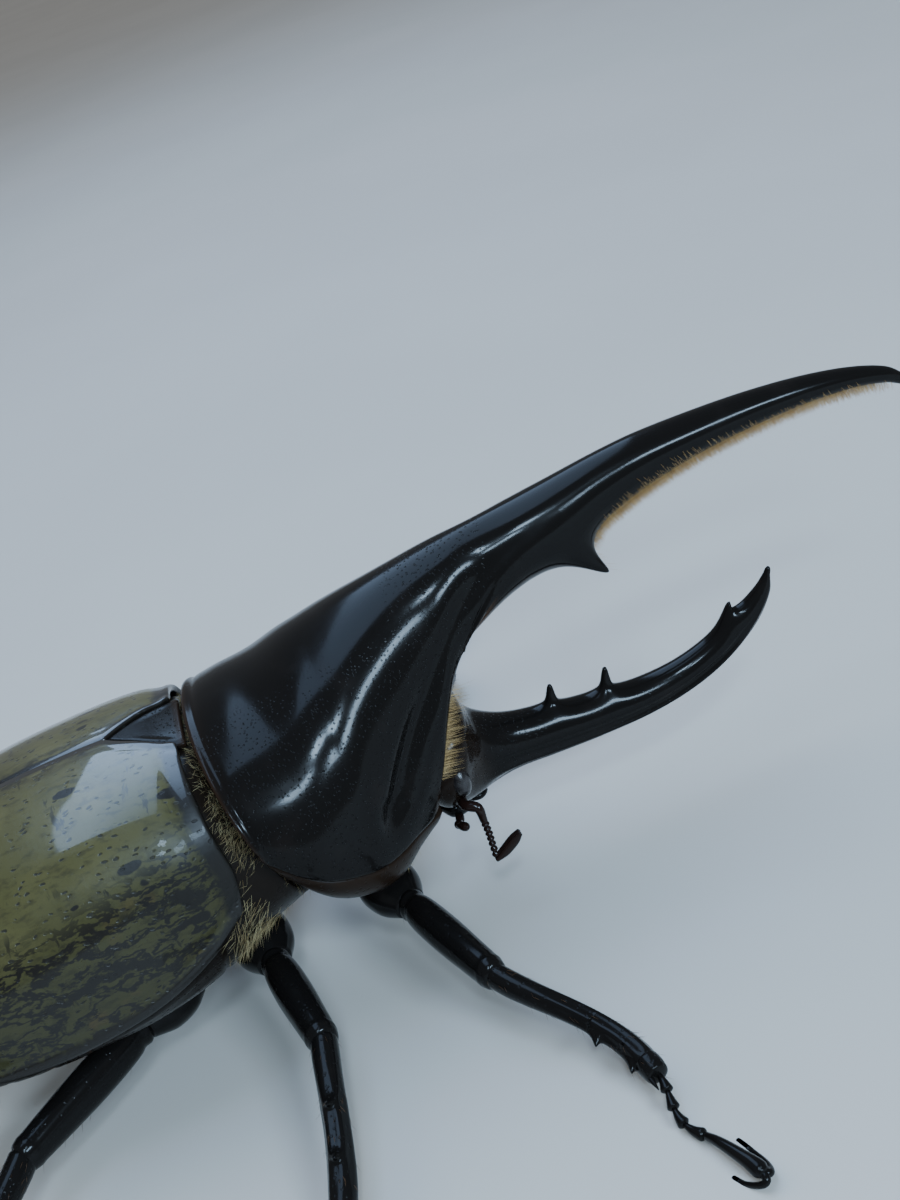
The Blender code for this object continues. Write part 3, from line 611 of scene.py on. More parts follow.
class Sheet:
    """A node tree with one method that adds any node."""

    def __init__(self, tree: bpy.types.NodeTree) -> None:
        """Keeps the tree."""
        self.tree = tree

    def add(self, kind: str, settings: dict | None = None, inputs: dict | None = None,
            output: int | str = 0) -> Wire:
        """Adds a node.

        Args:
            kind: the node's type.
            settings: its properties, set first.
            inputs: values or wires of its sockets, by number or name.
            output: the output that the wire is taken from.

        Returns:
            The wire.
        """
        node = self.tree.nodes.new(kind)
        for key, value in (settings or {}).items():
            setattr(node, key, value)
        self.feed(node, inputs or {})
        return Wire(self, node.outputs[output])

    def feed(self, node: bpy.types.Node, inputs: dict) -> None:
        """Links wires to a node's sockets, or sets the sockets' own values."""
        for key, value in inputs.items():
            if isinstance(value, Wire):
                self.tree.links.new(value.socket, node.inputs[key])
            else:
                node.inputs[key].default_value = value

    def mark(self, name: str) -> Wire:
        """A value that the piece's mesh carries."""
        settings = {"attribute_type": "GEOMETRY", "attribute_name": name}
        return self.add("ShaderNodeAttribute", settings, None, "Fac")

    def spot(self) -> Wire:
        """The place on the object, in metres."""
        return self.add("ShaderNodeTexCoord", None, None, "Object")

    def stretched(self, where: Wire, scale: Row) -> Wire:
        """The places with each axis scaled."""
        return self.add("ShaderNodeMapping", None, {"Vector": where, "Scale": scale})

    def noise(self, where: Wire, scale: float, detail: float = 2.0, rough: float = 0.5) -> Wire:
        """Smooth noise from 0 to 1."""
        return self.add("ShaderNodeTexNoise", {"noise_dimensions": "3D"},
                        {"Vector": where, "Scale": scale, "Detail": detail, "Roughness": rough})

    def cells(self, where: Wire, scale: float, random: float = 1.0) -> Wire:
        """The distance to the nearest of scattered points, in cells."""
        return self.add("ShaderNodeTexVoronoi", {"feature": "F1", "voronoi_dimensions": "3D"},
                        {"Vector": where, "Scale": scale, "Randomness": random}, "Distance")

    def blend(self, share: "Wire | float", first: "Wire | tuple", second: "Wire | tuple") -> Wire:
        """Mixes two colours."""
        pair = [(*x, 1.0) if isinstance(x, tuple) else x for x in (first, second)]
        return self.add("ShaderNodeMix", {"data_type": "RGBA"}, {0: share, 6: pair[0], 7: pair[1]}, 2)

    def bump(self, height: Wire, distance: float, strength: float = 1.0) -> Wire:
        """Turns a height into a normal."""
        inputs = {"Height": height, "Distance": distance, "Strength": strength}
        return self.add("ShaderNodeBump", None, inputs, "Normal")


@dataclass(frozen=True)
class Finish:
    """A surface finish; its material is made once."""

    name: str

    def material(self) -> bpy.types.Material:
        """The finish's material, made when it is first asked for."""
        made = bpy.data.materials.get(self.name)
        if made is None:
            made = bpy.data.materials.new(self.name)
            made.use_nodes = True
            sheet = Sheet(made.node_tree)
            sheet.feed(made.node_tree.nodes["Principled BSDF"], self.paint(sheet))
        return made

    def paint(self, sheet: Sheet) -> dict[str, Wire | float]:
        """Adds the finish's nodes to a new material.

        Args:
            sheet: the material's node tree.

        Returns:
            What the inputs of its Principled shader get, by name.
        """
        raise NotImplementedError


@dataclass(frozen=True)
class BlackShell(Finish):
    """Polished black shell with pits, granules and brown rims where the mesh is marked so."""

    colour: Row = (0.0065, 0.0055, 0.005)
    rim: Row = (0.045, 0.02, 0.008)
    worn: Row = (0.012, 0.009, 0.008)
    roughness: float = 0.13
    spread: float = 0.05
    pit_scale: float = 2300.0
    pit_depth: float = 0.00006
    grain_scale: float = 2100.0
    wear_scale: float = 260.0
    fine_scale: float = 3800.0
    coat: float = 0.04
    coat_roughness: float = 0.06
    ior: float = 1.21

    def paint(self, sheet: Sheet) -> dict[str, Wire | float]:
        """Adds the shell's nodes.

        Args:
            sheet: the material's node tree.

        Returns:
            What the inputs of its Principled shader get, by name.
        """
        where = sheet.spot()
        wear = sheet.noise(where, self.wear_scale, 3.0)
        fine = sheet.noise(where, self.fine_scale)
        pits = sheet.cells(where, self.pit_scale).rise(0.3, 0.14) * sheet.mark("pits")
        grains = (1.0 - sheet.cells(where, self.grain_scale).rise(0.1, 0.45)) * sheet.mark("grains")
        brown = sheet.mark("brown")
        share = brown.least(1.0)
        colour = sheet.blend(share, self.colour, self.rim)
        rough = wear.rise(0.3, 0.75) * self.spread + self.roughness
        return {
            "Base Color": sheet.blend(wear.rise(0.55, 0.8) * 0.5, colour, self.worn),
            "Roughness": rough + pits * 0.25 + grains * 0.1 + brown * 0.15,
            "Coat Weight": self.coat - share * 0.5 * self.coat,
            "Coat Roughness": self.coat_roughness,
            "IOR": self.ior,
            "Normal": sheet.bump(grains * 0.8 - pits + fine * 0.05, self.pit_depth),
        }


@dataclass(frozen=True)
class WingCaseFinish(Finish):
    """Olive wing case with dark spots, dots, streaks and margins under a clear gloss, its lower flank darker,
    partly in its own tone and partly as painted shade.
    """

    olive: Row = (0.068, 0.06, 0.019)
    yellow: Row = (0.11, 0.095, 0.033)
    # The flank ground is partly the wing case's own darker tone and partly painted shade of its lower side.
    flank: Row = (0.024, 0.023, 0.007)
    dark: Row = (0.007, 0.0055, 0.004)
    rust: Row = (0.075, 0.042, 0.012)
    spot_scale: float = 430.0
    spot_radius: float = 0.29
    dot_scale: float = 1400.0
    stretches: tuple[Row, ...] = ((1.0, 0.5, 1.0), (1.0, 0.35, 1.0), (0.3, 1.0, 0.3))
    grain_depth: float = 0.00009
    roughness: float = 0.24
    coat: float = 0.95
    coat_roughness: float = 0.05
    ior: float = 1.36

    def paint(self, sheet: Sheet) -> dict[str, Wire | float]:
        """Adds the wing case's nodes.

        Args:
            sheet: the material's node tree.

        Returns:
            What the inputs of its Principled shader get, by name.
        """
        where = sheet.spot()
        seam, front, edge, matt = (sheet.mark(name) for name in ("seam", "front", "edge", "matt"))
        # How far down the flank a place lies: it draws the flank's pattern and darkens the ground as painted
        # shade.
        flank = edge.rise(19.0, 8.0)
        wander = sheet.noise(where, 420.0, 3.0).also("Color")
        bent = where + (wander - 0.5) * 0.0012
        long, streaked, crossed = (sheet.stretched(bent, scale) for scale in self.stretches)
        cell = sheet.cells(long, self.spot_scale)
        draw = sheet.add("ShaderNodeSeparateColor", None, {"Color": cell.also("Color")}, "Red")
        radius = draw.rise(0.15, 0.95) * self.spot_radius
        spots = (cell - radius).rise(0.03, -0.03) * radius.rise(0.03, 0.08)
        dots = sheet.cells(long, self.dot_scale).rise(0.27, 0.16) * sheet.noise(where, 190.0).rise(0.32, 0.46)
        lines = (sheet.noise(streaked, 520.0, 4.0, 0.6) - 0.5).size().rise(0.05, 0.02)
        blots = sheet.noise(streaked, 420.0, 5.0, 0.66).rise(0.54, 0.6)
        strokes = sheet.noise(crossed, 900.0, 3.0, 0.6).rise(0.58, 0.66)
        strokes = strokes * sheet.noise(where, 210.0).rise(0.5, 0.62)
        web = (lines * flank.rise(0.1, 0.8)).most(blots * flank.rise(0.4, 1.0)).most(strokes * 0.8)
        smear = sheet.noise(streaked, 700.0, 4.0, 0.7).rise(0.4, 0.6) * seam.rise(3.6, 0.9)
        jag = (sheet.noise(bent, 1500.0, 3.0) - 0.5) * 1.2
        margin = (seam + jag * 0.5).rise(1.3, 0.65).most((front + jag).rise(2.5, 1.4))
        margin = margin.most((edge + jag).rise(1.7, 0.9))
        grain = sheet.noise(streaked, 1300.0, 3.0, 0.6).rise(0.48, 0.7) * 0.45
        marks = spots.most(dots * 0.85).most(web).most(smear * 0.9).most(margin).most(grain)
        ground = sheet.blend(sheet.noise(where, 95.0, 3.0).rise(0.35, 0.7), self.olive, self.yellow)
        # Darkens the ground towards the lower flank: partly its real tone, partly painted shade.
        ground = sheet.blend(flank * 0.85, ground, self.flank)
        rust = sheet.noise(where, 240.0, 2.0).rise(0.6, 0.75) * flank * 0.4
        folds = sheet.noise(streaked, 420.0, 3.0)
        height = folds * 0.6 - dots * 0.5 + sheet.noise(where, 2600.0, 2.0) * 0.12
        return {
            "Base Color": sheet.blend(marks, sheet.blend(rust, ground, self.rust), self.dark),
            "Roughness": self.roughness + sheet.noise(where, 900.0, 3.0) * 0.12 + dots * 0.15 + matt * 0.14,
            "Coat Weight": (self.coat - flank * 0.65) * (1.0 - matt * 0.9),
            "Coat Roughness": self.coat_roughness,
            "IOR": self.ior,
            "Normal": sheet.bump(height, self.grain_depth, 0.8),
        }


@dataclass(frozen=True)
class BristleFinish(Finish):
    """Horny bristles, each of its own shade."""

    light: Row = (0.62, 0.4, 0.15)
    deep: Row = (0.34, 0.17, 0.045)

    def paint(self, sheet: Sheet) -> dict[str, Wire | float]:
        """Adds the bristles' nodes.

        Args:
            sheet: the material's node tree.

        Returns:
            What the inputs of its Principled shader get, by name.
        """
        share = sheet.mark("tint")
        return {"Base Color": sheet.blend(share, self.deep, self.light), "Roughness": 0.42 + share * 0.15,
                "IOR": 1.5}


@dataclass(frozen=True)
class EyeFinish(Finish):
    """A dark eye of many small facets."""

    colour: Row = (0.012, 0.01, 0.01)
    cloudy: Row = (0.035, 0.03, 0.03)

    def paint(self, sheet: Sheet) -> dict[str, Wire | float]:
        """Adds the eye's nodes.

        Args:
            sheet: the material's node tree.

        Returns:
            What the inputs of its Principled shader get, by name.
        """
        where = sheet.spot()
        facets = sheet.cells(where, 9000.0, 0.25)
        cloud = sheet.noise(where, 1400.0).rise(0.3, 0.8)
        return {"Base Color": sheet.blend(cloud, self.colour, self.cloudy), "Roughness": 0.14 + facets * 0.2,
                "Normal": sheet.bump(1.0 - facets, 0.00002, 0.6)}


@dataclass(frozen=True)
class FloorFinish(Finish):
    """A plain pale floor."""

    colour: Row = (0.56, 0.53, 0.485)

    def paint(self, sheet: Sheet) -> dict[str, Wire | float]:
        """Adds the floor's nodes.

        Args:
            sheet: the material's node tree.

        Returns:
            What the inputs of its Principled shader get, by name.
        """
        cloud = sheet.noise(sheet.spot(), 9.0, 4.0)
        dim = tuple(0.96 * c for c in self.colour)
        return {"Base Color": sheet.blend(cloud.rise(0.35, 0.65), self.colour, dim),
                "Roughness": 0.55 + cloud * 0.15}


SHIELD_FINISH = BlackShell("polished_shield")
HEAD_FINISH = BlackShell("polished_head", roughness=0.12, pit_scale=2600.0)
SCUTELLUM_FINISH = BlackShell("pitted_scutellum", roughness=0.17, pit_scale=1900.0, pit_depth=0.00009)
UNDERSIDE_FINISH = BlackShell("brown_black_underside", colour=(0.008, 0.0055, 0.004), roughness=0.26,
                              pit_scale=1500.0, coat=0.0)
LEG_FINISH = BlackShell("polished_leg", roughness=0.14, pit_scale=1700.0, pit_depth=0.00005)
FEELER_FINISH = BlackShell("red_black_feeler", colour=(0.013, 0.006, 0.0045), roughness=0.16,
                           pit_scale=3000.0, pit_depth=0.00002, coat=0.2)
WING_CASE_FINISH = WingCaseFinish("spotted_wing_case")
GOLD_BRISTLES = BristleFinish("golden_bristles")
PALE_BRISTLES = BristleFinish("pale_bristles", light=(0.5, 0.42, 0.22), deep=(0.3, 0.2, 0.08))
LEG_BRISTLES = BristleFinish("rusty_bristles", light=(0.2, 0.1, 0.04), deep=(0.08, 0.035, 0.012))
HOOD_BRISTLES = BristleFinish("hood_bristles", light=(0.62, 0.44, 0.2), deep=(0.42, 0.26, 0.09))
EYE_FINISH = EyeFinish("faceted_eye")
FLOOR_FINISH = FloorFinish("pale_floor")


@dataclass
class Bristles:
    """Bristles that Geometry Nodes scatter over the marked places of a skin.

    The share `stand` says how far they stand up from the skin, and the rest of the way they
    follow its lie. Each one strays from that by the share `wild`.
    """

    name: str
    mark: str
    finish: Finish
    slot: Slot
    per_mm2: float
    length: float
    width: float
    stand: float = 0.35
    wild: float = 0.25
    seed: int = 1

    def bristle(self) -> bpy.types.Object:
        """One straight bristle of length 1 and half width 1 that tapers to a point."""
        levels = np.array([0.0, 0.35, 0.7, 1.0])
        slim = np.array([1.0, 0.85, 0.55, 0.0])
        points, faces, corners = [], [], []
        for level, wide in zip(levels[:-1], slim[:-1]):
            for side in range(3):
                turn = math.tau * side / 3
                points.append((math.cos(turn) * wide, math.sin(turn) * wide, level))
        points.append((0.0, 0.0, 1.0))
        for ring in range(2):
            for side in range(3):
                a, b = ring * 3 + side, ring * 3 + (side + 1) % 3
                faces.append((a, b, b + 3, a + 3))
                corners += [(side / 3, levels[ring]), ((side + 1) / 3, levels[ring]),
                            ((side + 1) / 3, levels[ring + 1]), (side / 3, levels[ring + 1])]
        for side in range(3):
            faces.append((6 + side, 6 + (side + 1) % 3, 9))
            corners += [(side / 3, levels[2]), ((side + 1) / 3, levels[2]), ((side + 0.5) / 3, 1.0)]
        faces.append((2, 1, 0))
        corners += [(0.0, 0.0), (0.5, 0.0), (1.0, 0.0)]
        mesh = bpy.data.meshes.new(self.name + "_one")
        mesh.from_pydata(points, [], faces)
        mesh.uv_layers.new(name="tuft").data.foreach_set("uv", np.array(corners).ravel())
        mesh.shade_smooth()
        return put(mesh.name, mesh)

    def tree(self) -> bpy.types.NodeTree:
        """The node tree: scatter, aim along the lie, realize, colour.

        Returns:
            A tree whose inputs are the skin, the bristle and its sizes.
        """
        tree = bpy.data.node_groups.new(self.name, "GeometryNodeTree")
        sheet = Sheet(tree)
        kinds = {"Skin": "Geometry", "Bristle": "Object", "Density": "Float", "Length": "Float",
                 "Width": "Float", "Stand": "Float", "Wild": "Float", "Seed": "Int", "Finish": "Material"}
        for name, kind in kinds.items():
            tree.interface.new_socket(name=name, in_out="INPUT", socket_type="NodeSocket" + kind)
        tree.interface.new_socket(name="Bristles", in_out="OUTPUT", socket_type="NodeSocketGeometry")
        given = sheet.add("NodeGroupInput", None, None, "Skin")
        seed = given.also("Seed")
        mark = self.attribute(sheet, self.mark, "FLOAT")
        scatter = sheet.add("GeometryNodeDistributePointsOnFaces", {"distribute_method": "RANDOM"},
                            {"Mesh": given, "Density": mark * given.also("Density"), "Seed": seed}, "Points")
        lie = self.attribute(sheet, "lie", "FLOAT_VECTOR")
        shake = self.draw(sheet, "FLOAT_VECTOR", (-1.0, -1.0, -1.0), (1.0, 1.0, 1.0), seed + 11)
        stand = given.also("Stand")
        aim = self.scaled(sheet, scatter.also("Normal"), stand) + self.scaled(sheet, lie, 1.0 - stand)
        aim = aim + self.scaled(sheet, shake, given.also("Wild"))
        spin = self.draw(sheet, "FLOAT", 0.0, math.tau, seed + 23)
        start = sheet.add("FunctionNodeEulerToRotation", None,
                          {0: sheet.add("ShaderNodeCombineXYZ", None, {"Z": spin})})
        turn = sheet.add("FunctionNodeAlignRotationToVector", {"axis": "Z"},
                         {"Rotation": start, "Vector": aim})
        long = given.also("Length") * self.draw(sheet, "FLOAT", 0.65, 1.1, seed + 37)
        wide = given.also("Width") * self.draw(sheet, "FLOAT", 0.7, 1.2, seed + 41)
        scale = sheet.add("ShaderNodeCombineXYZ", None, {"X": wide, "Y": wide, "Z": long})
        one = sheet.add("GeometryNodeObjectInfo", {"transform_space": "ORIGINAL"},
                        {"Object": given.also("Bristle")}, "Geometry")
        grown = sheet.add("GeometryNodeInstanceOnPoints", None,
                          {"Points": scatter, "Instance": one, "Rotation": turn, "Scale": scale})
        tint = self.draw(sheet, "FLOAT", 0.0, 1.0, seed + 53)
        grown = self.store(sheet, grown, "tint", "FLOAT", "INSTANCE", tint)
        real = sheet.add("GeometryNodeRealizeInstances", None, {"Geometry": grown})
        root = self.attribute(sheet, "unwrap", "FLOAT_VECTOR")
        patch = self.attribute(sheet, "tuft", "FLOAT_VECTOR")
        real = self.store(sheet, real, "OFBake", "FLOAT2", "CORNER", root + patch * TUFT_PATCH)
        done = sheet.add("GeometryNodeSetMaterial", None,
                         {"Geometry": real, "Material": given.also("Finish")})
        sheet.feed(tree.nodes.new("NodeGroupOutput"), {0: done})
        return tree

    @staticmethod
    def attribute(sheet: Sheet, name: str, kind: str) -> Wire:
        """A named value of the geometry."""
        return sheet.add("GeometryNodeInputNamedAttribute", {"data_type": kind}, {"Name": name})

    @staticmethod
    def draw(sheet: Sheet, kind: str, low: float | Row, high: float | Row, seed: Wire) -> Wire:
        """A random value for each bristle."""
        first, output = (0, 0) if kind == "FLOAT_VECTOR" else (2, 1)
        inputs = {first: low, first + 1: high, "Seed": seed}
        return sheet.add("FunctionNodeRandomValue", {"data_type": kind}, inputs, output)

    @staticmethod
    def scaled(sheet: Sheet, vector: Wire, factor: Wire) -> Wire:
        """A vector times a value."""
        return sheet.add("ShaderNodeVectorMath", {"operation": "SCALE"}, {0: vector, "Scale": factor})

    @staticmethod
    def store(sheet: Sheet, geometry: Wire, name: str, kind: str, domain: str, value: Wire) -> Wire:
        """Writes a named value to the geometry."""
        return sheet.add("GeometryNodeStoreNamedAttribute", {"data_type": kind, "domain": domain},
                         {"Geometry": geometry, "Name": name, "Value": value})

    def grow(self, skin: bpy.types.Object) -> bpy.types.Object:
        """Grows the bristles on a skin.

        Args:
            skin: the piece whose mesh carries the mark and the lie.

        Returns:
            The bristles, a piece of their own.
        """
        host = put(self.name + "_host", skin.data.copy())
        one = self.bristle()
        tree = self.tree()
        step = host.modifiers.new("grow", "NODES")
        step.node_group = tree
        values = {"Bristle": one, "Density": self.per_mm2 / MM ** 2, "Length": self.length * MM,
                  "Width": self.width * MM, "Stand": self.stand, "Wild": self.wild, "Seed": self.seed,
                  "Finish": self.finish.material()}
        for socket in tree.interface.items_tree:
            if socket.in_out == "INPUT" and socket.name in values:
                step[socket.identifier] = values[socket.name]
        host.update_tag()
        bpy.context.view_layer.update()
        grown = host.evaluated_get(bpy.context.evaluated_depsgraph_get())
        mesh = bpy.data.meshes.new_from_object(grown)
        mesh.name = self.name
        host.modifiers.remove(step)
        for spare in (host, one):
            bpy.data.objects.remove(spare)
        return finish_piece(put(self.name, mesh), self.finish, self.slot)


@dataclass
class Shield:
    """The shield behind the head and its long horn, as one skin with a hollow hood in front."""

    arch: int = 120
    under: int = 60
    runs: tuple[Row, ...] = ((0.0, 0.4, 16), (0.4, 6.5, 60), (6.5, 13.0, 80), (13.0, 16.0, 110),
                             (16.0, 23.0, 110))
    calm_spread: float = 0.4
    calm_zone: Row = (5.5, 7.5, 14.0, 16.0)
    even_zone: Row = (4.0, 7.0, 14.5, 17.0)
    even_passes: int = 420
    hind_rim: tuple[Row, Row] = ((0.15, 0.35, 0.4), (0.09, 1.2, 0.5))
    row_length: float = 4.2                # millimetres from one row of the table to the next
    fullness: float = 0.6
    dent: Row = (9.5, 3.6, 0.3)            # how far behind the front rim, how wide, how deep
    furrow_rows: Row = (6.8, 8.0, 10.5, 12.5, 15.0)
    furrow_back: Row = (7.0, 7.0, 4.4, 2.8, 1.9)
    furrow_deep: Row = (1.4, 1.4, 0.7, 0.25, 0.0)
    furrow_wide: Row = (1.8, 1.7, 1.4, 1.1, 1.0)
    lower_margin: float = 6.3
    hood: Row = (6.9, 12.4, 5.2)           # the first and last row, and the depth
    hood_slopes: Row = (1.2, 2.6)          # over how many rows it deepens, and grows flat again
    # Where marks begin, are full, are full to and end, in rows of the table.
    collar_zone: Row = (5.8, 7.4, 11.0, 12.8)
    inside_zone: Row = (6.6, 7.2, 12.2, 13.0)
    front_zone: Row = (6.6, 7.6, 10.5, 12.0)
    brush_zone: Row = (14.9, 15.9, 21.0, 22.6)
    fringe_zone: Row = (8.1, 8.6, 10.2, 10.9)
    grain_row: float = 14.2
    horn_row: float = 13.0
    hook_root: Row = (45.0, 2.0, 16.9)
    hook_tip: Row = (47.9, 3.3, 13.6)
    hook_width: float = 1.15
    horn_tip: Row = (88.0, 0.0, 18.5)

    def skin(self) -> Patch:
        """Lofts the shield and works its rims, furrow, hood and hooks into it."""
        steps = spans(*self.runs)
        rows = calm(SHIELD, steps, self.calm_spread, self.calm_zone)
        top_at, top, edge_at, edge, half, sag, bow = fields(rows)
        bow = np.where(bow > 1, 1 - self.fullness * (bow - 1), bow)
        turn = np.linspace(0, math.pi, self.arch + 1)
        angle = turn[None]
        lift = np.sin(angle) ** (0.5 + 0.5 * bow)
        over = ring_stack(edge_at + (top_at - edge_at) * lift, half * power(np.cos(angle), bow),
                          edge + (top - edge) * lift)
        angle = (math.pi * (1 + np.arange(1, self.under) / self.under))[None]
        down = np.concatenate([edge_at - top_at, edge - top], 1)
        down /= np.linalg.norm(down, axis=1, keepdims=True)
        deep = np.maximum(sag, 0.0) * np.abs(np.sin(angle))
        into = self.hollow(steps)[:, None] * np.abs(np.sin(angle)) ** 0.4
        below = ring_stack(edge_at + down[:, :1] * deep - 0.96 * into, half * np.cos(angle),
                           edge + down[:, 1:] * deep + 0.28 * into)
        patch = Patch(np.concatenate([over, below], 1))
        share = np.concatenate([0.1 + 0.9 * np.sin(turn) ** 0.7, np.full(self.under - 1, 0.1)])
        patch.even(band(steps, *self.even_zone)[:, None] * share[None], self.even_passes)
        self.shape(patch, steps)
        self.mark(patch, steps)
        return place_tip(patch, self.horn_tip, 7)

    def hollow(self, steps: np.ndarray) -> np.ndarray:
        """How deep the hood is hollowed at each ring."""
        start, end, depth = self.hood
        rise, fall = self.hood_slopes
        return depth * band(steps, start, start + rise, end - fall, end)

    def shape(self, patch: Patch, steps: np.ndarray) -> None:
        """Raises the rims and hooks and sinks the furrow.

        Args:
            patch: the plain loft.
            steps: each ring's place in the table.
        """
        arch = slice(0, self.arch + 1)
        run = patch.run()[:, arch]
        rim = np.minimum(run, run[:, -1:] - run)
        high = np.zeros(patch.rings.shape[:2])
        ahead = ramp(6.6, 7.4, steps)[:, None]
        bead = beading(rim, (0.22 + 0.2 * ahead, 0.25, 0.45 + 0.15 * ahead),
                       (0.1 + 0.12 * ahead, 1.15 + 0.35 * ahead, 0.45))
        bead *= ramp(13.2, 11.6, steps)[:, None]
        edge = patch.rings[:, 0]
        places = patch.rings[:, arch]
        away, nearest = self.from_edge(places, edge, steps, self.furrow_rows[0], self.furrow_rows[-1])
        low, _ = self.from_edge(places, edge, steps, 0.0, self.lower_margin)
        above = ramp(1.0, 6.0, low)
        centre, depth, wide = (np.interp(nearest, self.furrow_rows, values)
                               for values in (self.furrow_back, self.furrow_deep, self.furrow_wide))
        depth = depth * above
        lip = 0.25 * depth * hump(away, centre * 0.45, wide)
        high[:, arch] = bead - depth * hump(away, centre, wide) + lip
        back, wide, deep = self.dent
        high[:, arch] -= deep * above * hump(away, back, wide) * ramp(11.5, 9.0, nearest)
        high[:, arch] += beading(steps[:, None] * self.row_length, *self.hind_rim)
        patch.lift(high)
        patch.soften((0, self.arch), 2.0, 5)
        for side in Side:
            patch.pull(side.of(self.hook_root), side.of(self.hook_tip), self.hook_width, 2.1)

    @staticmethod
    def from_edge(places: np.ndarray, edge: np.ndarray, steps: np.ndarray, first: float,
                  last: float) -> tuple[np.ndarray, np.ndarray]:
        """Measures how far places are from one stretch of the arch's edge.

        Args:
            places: the places on the arch.
            edge: the arch's left edge at each ring.
            steps: each ring's place in the table.
            first: where the stretch begins in the table.
            last: where it ends.

        Returns:
            The distance, and the nearest edge place in rows of the table.
        """
        rows = np.linspace(first, last, 500)
        line = np.stack([np.interp(rows, steps, edge[:, k]) for k in range(3)], -1)
        away, nearest = np.zeros(places.shape[:2]), np.zeros(places.shape[:2])
        for ring, points in enumerate(places):
            folded = np.stack([points[:, 0], np.abs(points[:, 1]), points[:, 2]], -1)
            gaps = np.linalg.norm(folded[:, None] - line, axis=-1)
            away[ring], nearest[ring] = gaps.min(-1), rows[gaps.argmin(-1)]
        return away, nearest

    def mark(self, patch: Patch, steps: np.ndarray) -> None:
        """Marks where the skin has pits, granules, brown rims and bristles.

        Args:
            patch: the shaped skin.
            steps: each ring's place in the table.
        """
        left, up = patch.rings[..., 1], patch.rings[..., 2]
        count = patch.rings.shape[1]
        column = np.arange(count)[None]
        under = (column > self.arch).astype(float)
        level = steps[:, None]
        pits = ramp(20.5, 14.0, up) * ramp(4.0, 9.0, np.abs(left)) * ramp(11.5, 9.5, level)
        collar = band(level, *self.collar_zone)
        inside = under * band(level, *self.inside_zone)
        hind = hump(level, 0.0, 0.4) * ramp(10.0, 17.0, up) * 0.1 + 0.35 * hump(level, 0.0, 0.1)
        run = patch.run()
        rim = np.minimum(run, run[:, self.arch:self.arch + 1] - run)
        front = hump(rim, 0.0, 1.1) * band(level, *self.front_zone) * (1 - under)
        width = 0.1 + 0.12 * ramp(15.0, 16.6, level)
        middle = hump((column - self.arch - self.under / 2) / self.under / width, 0.0, 1.0)
        wall = np.maximum(hump(column - self.arch, 5.0, 4.0), hump(count - column, 5.0, 4.0))
        patch.fill(pits=np.maximum(pits, 0.9 * collar) * (1 - under),
                   grains=hump(level, self.grain_row, 1.3) * ramp(21.0, 18.5, up) * (1 - under),
                   brown=np.clip(inside + hind + 0.55 * front, 0, 1),
                   brush=under * middle * band(level, *self.brush_zone),
                   fringe=wall * under * band(level, *self.fringe_zone))
        horn = level[..., None] > self.horn_row
        hood = np.stack([np.ones_like(left), 0.05 * np.sign(left), np.full_like(left, -0.15)], -1)
        patch.lay(np.where(horn, (0.5, 0.0, -1.0), hood))

    def build(self) -> None:
        """Builds the shield and its bristles."""
        shield = make_mesh("shield_and_horn", [self.skin()])
        finish_piece(shield, SHIELD_FINISH, Slot.SHIELD, "pronotum", "thoracic_horn")
        Bristles("horn_brush", "brush", GOLD_BRISTLES, Slot.SHIELD, per_mm2=85.0, length=1.35,
                 width=0.016, stand=0.5, wild=0.25, seed=3).grow(shield)
        Bristles("hood_fringe", "fringe", HOOD_BRISTLES, Slot.SHIELD, per_mm2=60.0, length=3.7,
                 width=0.022, stand=0.02, wild=0.14, seed=5).grow(shield)


def place_tip(patch: Patch, tip: Row, count: int) -> Patch:
    """Adds rings that close a horn in a rounded point.

    Args:
        patch: the horn's skin.
        tip: its tip.
        count: how many rings the point takes.

    Returns:
        The skin with its point.
    """
    last = patch.rings[-1]
    centre = last.mean(0)
    share = np.arange(1, count + 1) / (count + 0.4)
    point = [centre + (last - centre) * math.sqrt(1 - s ** 2) + (np.array(tip) - centre) * s for s in share]
    marks = {key: np.concatenate([mark, np.repeat(mark[-1:], count, 0)]) for key, mark in patch.marks.items()}
    return Patch(np.concatenate([patch.rings, np.stack(point)]), marks=marks)


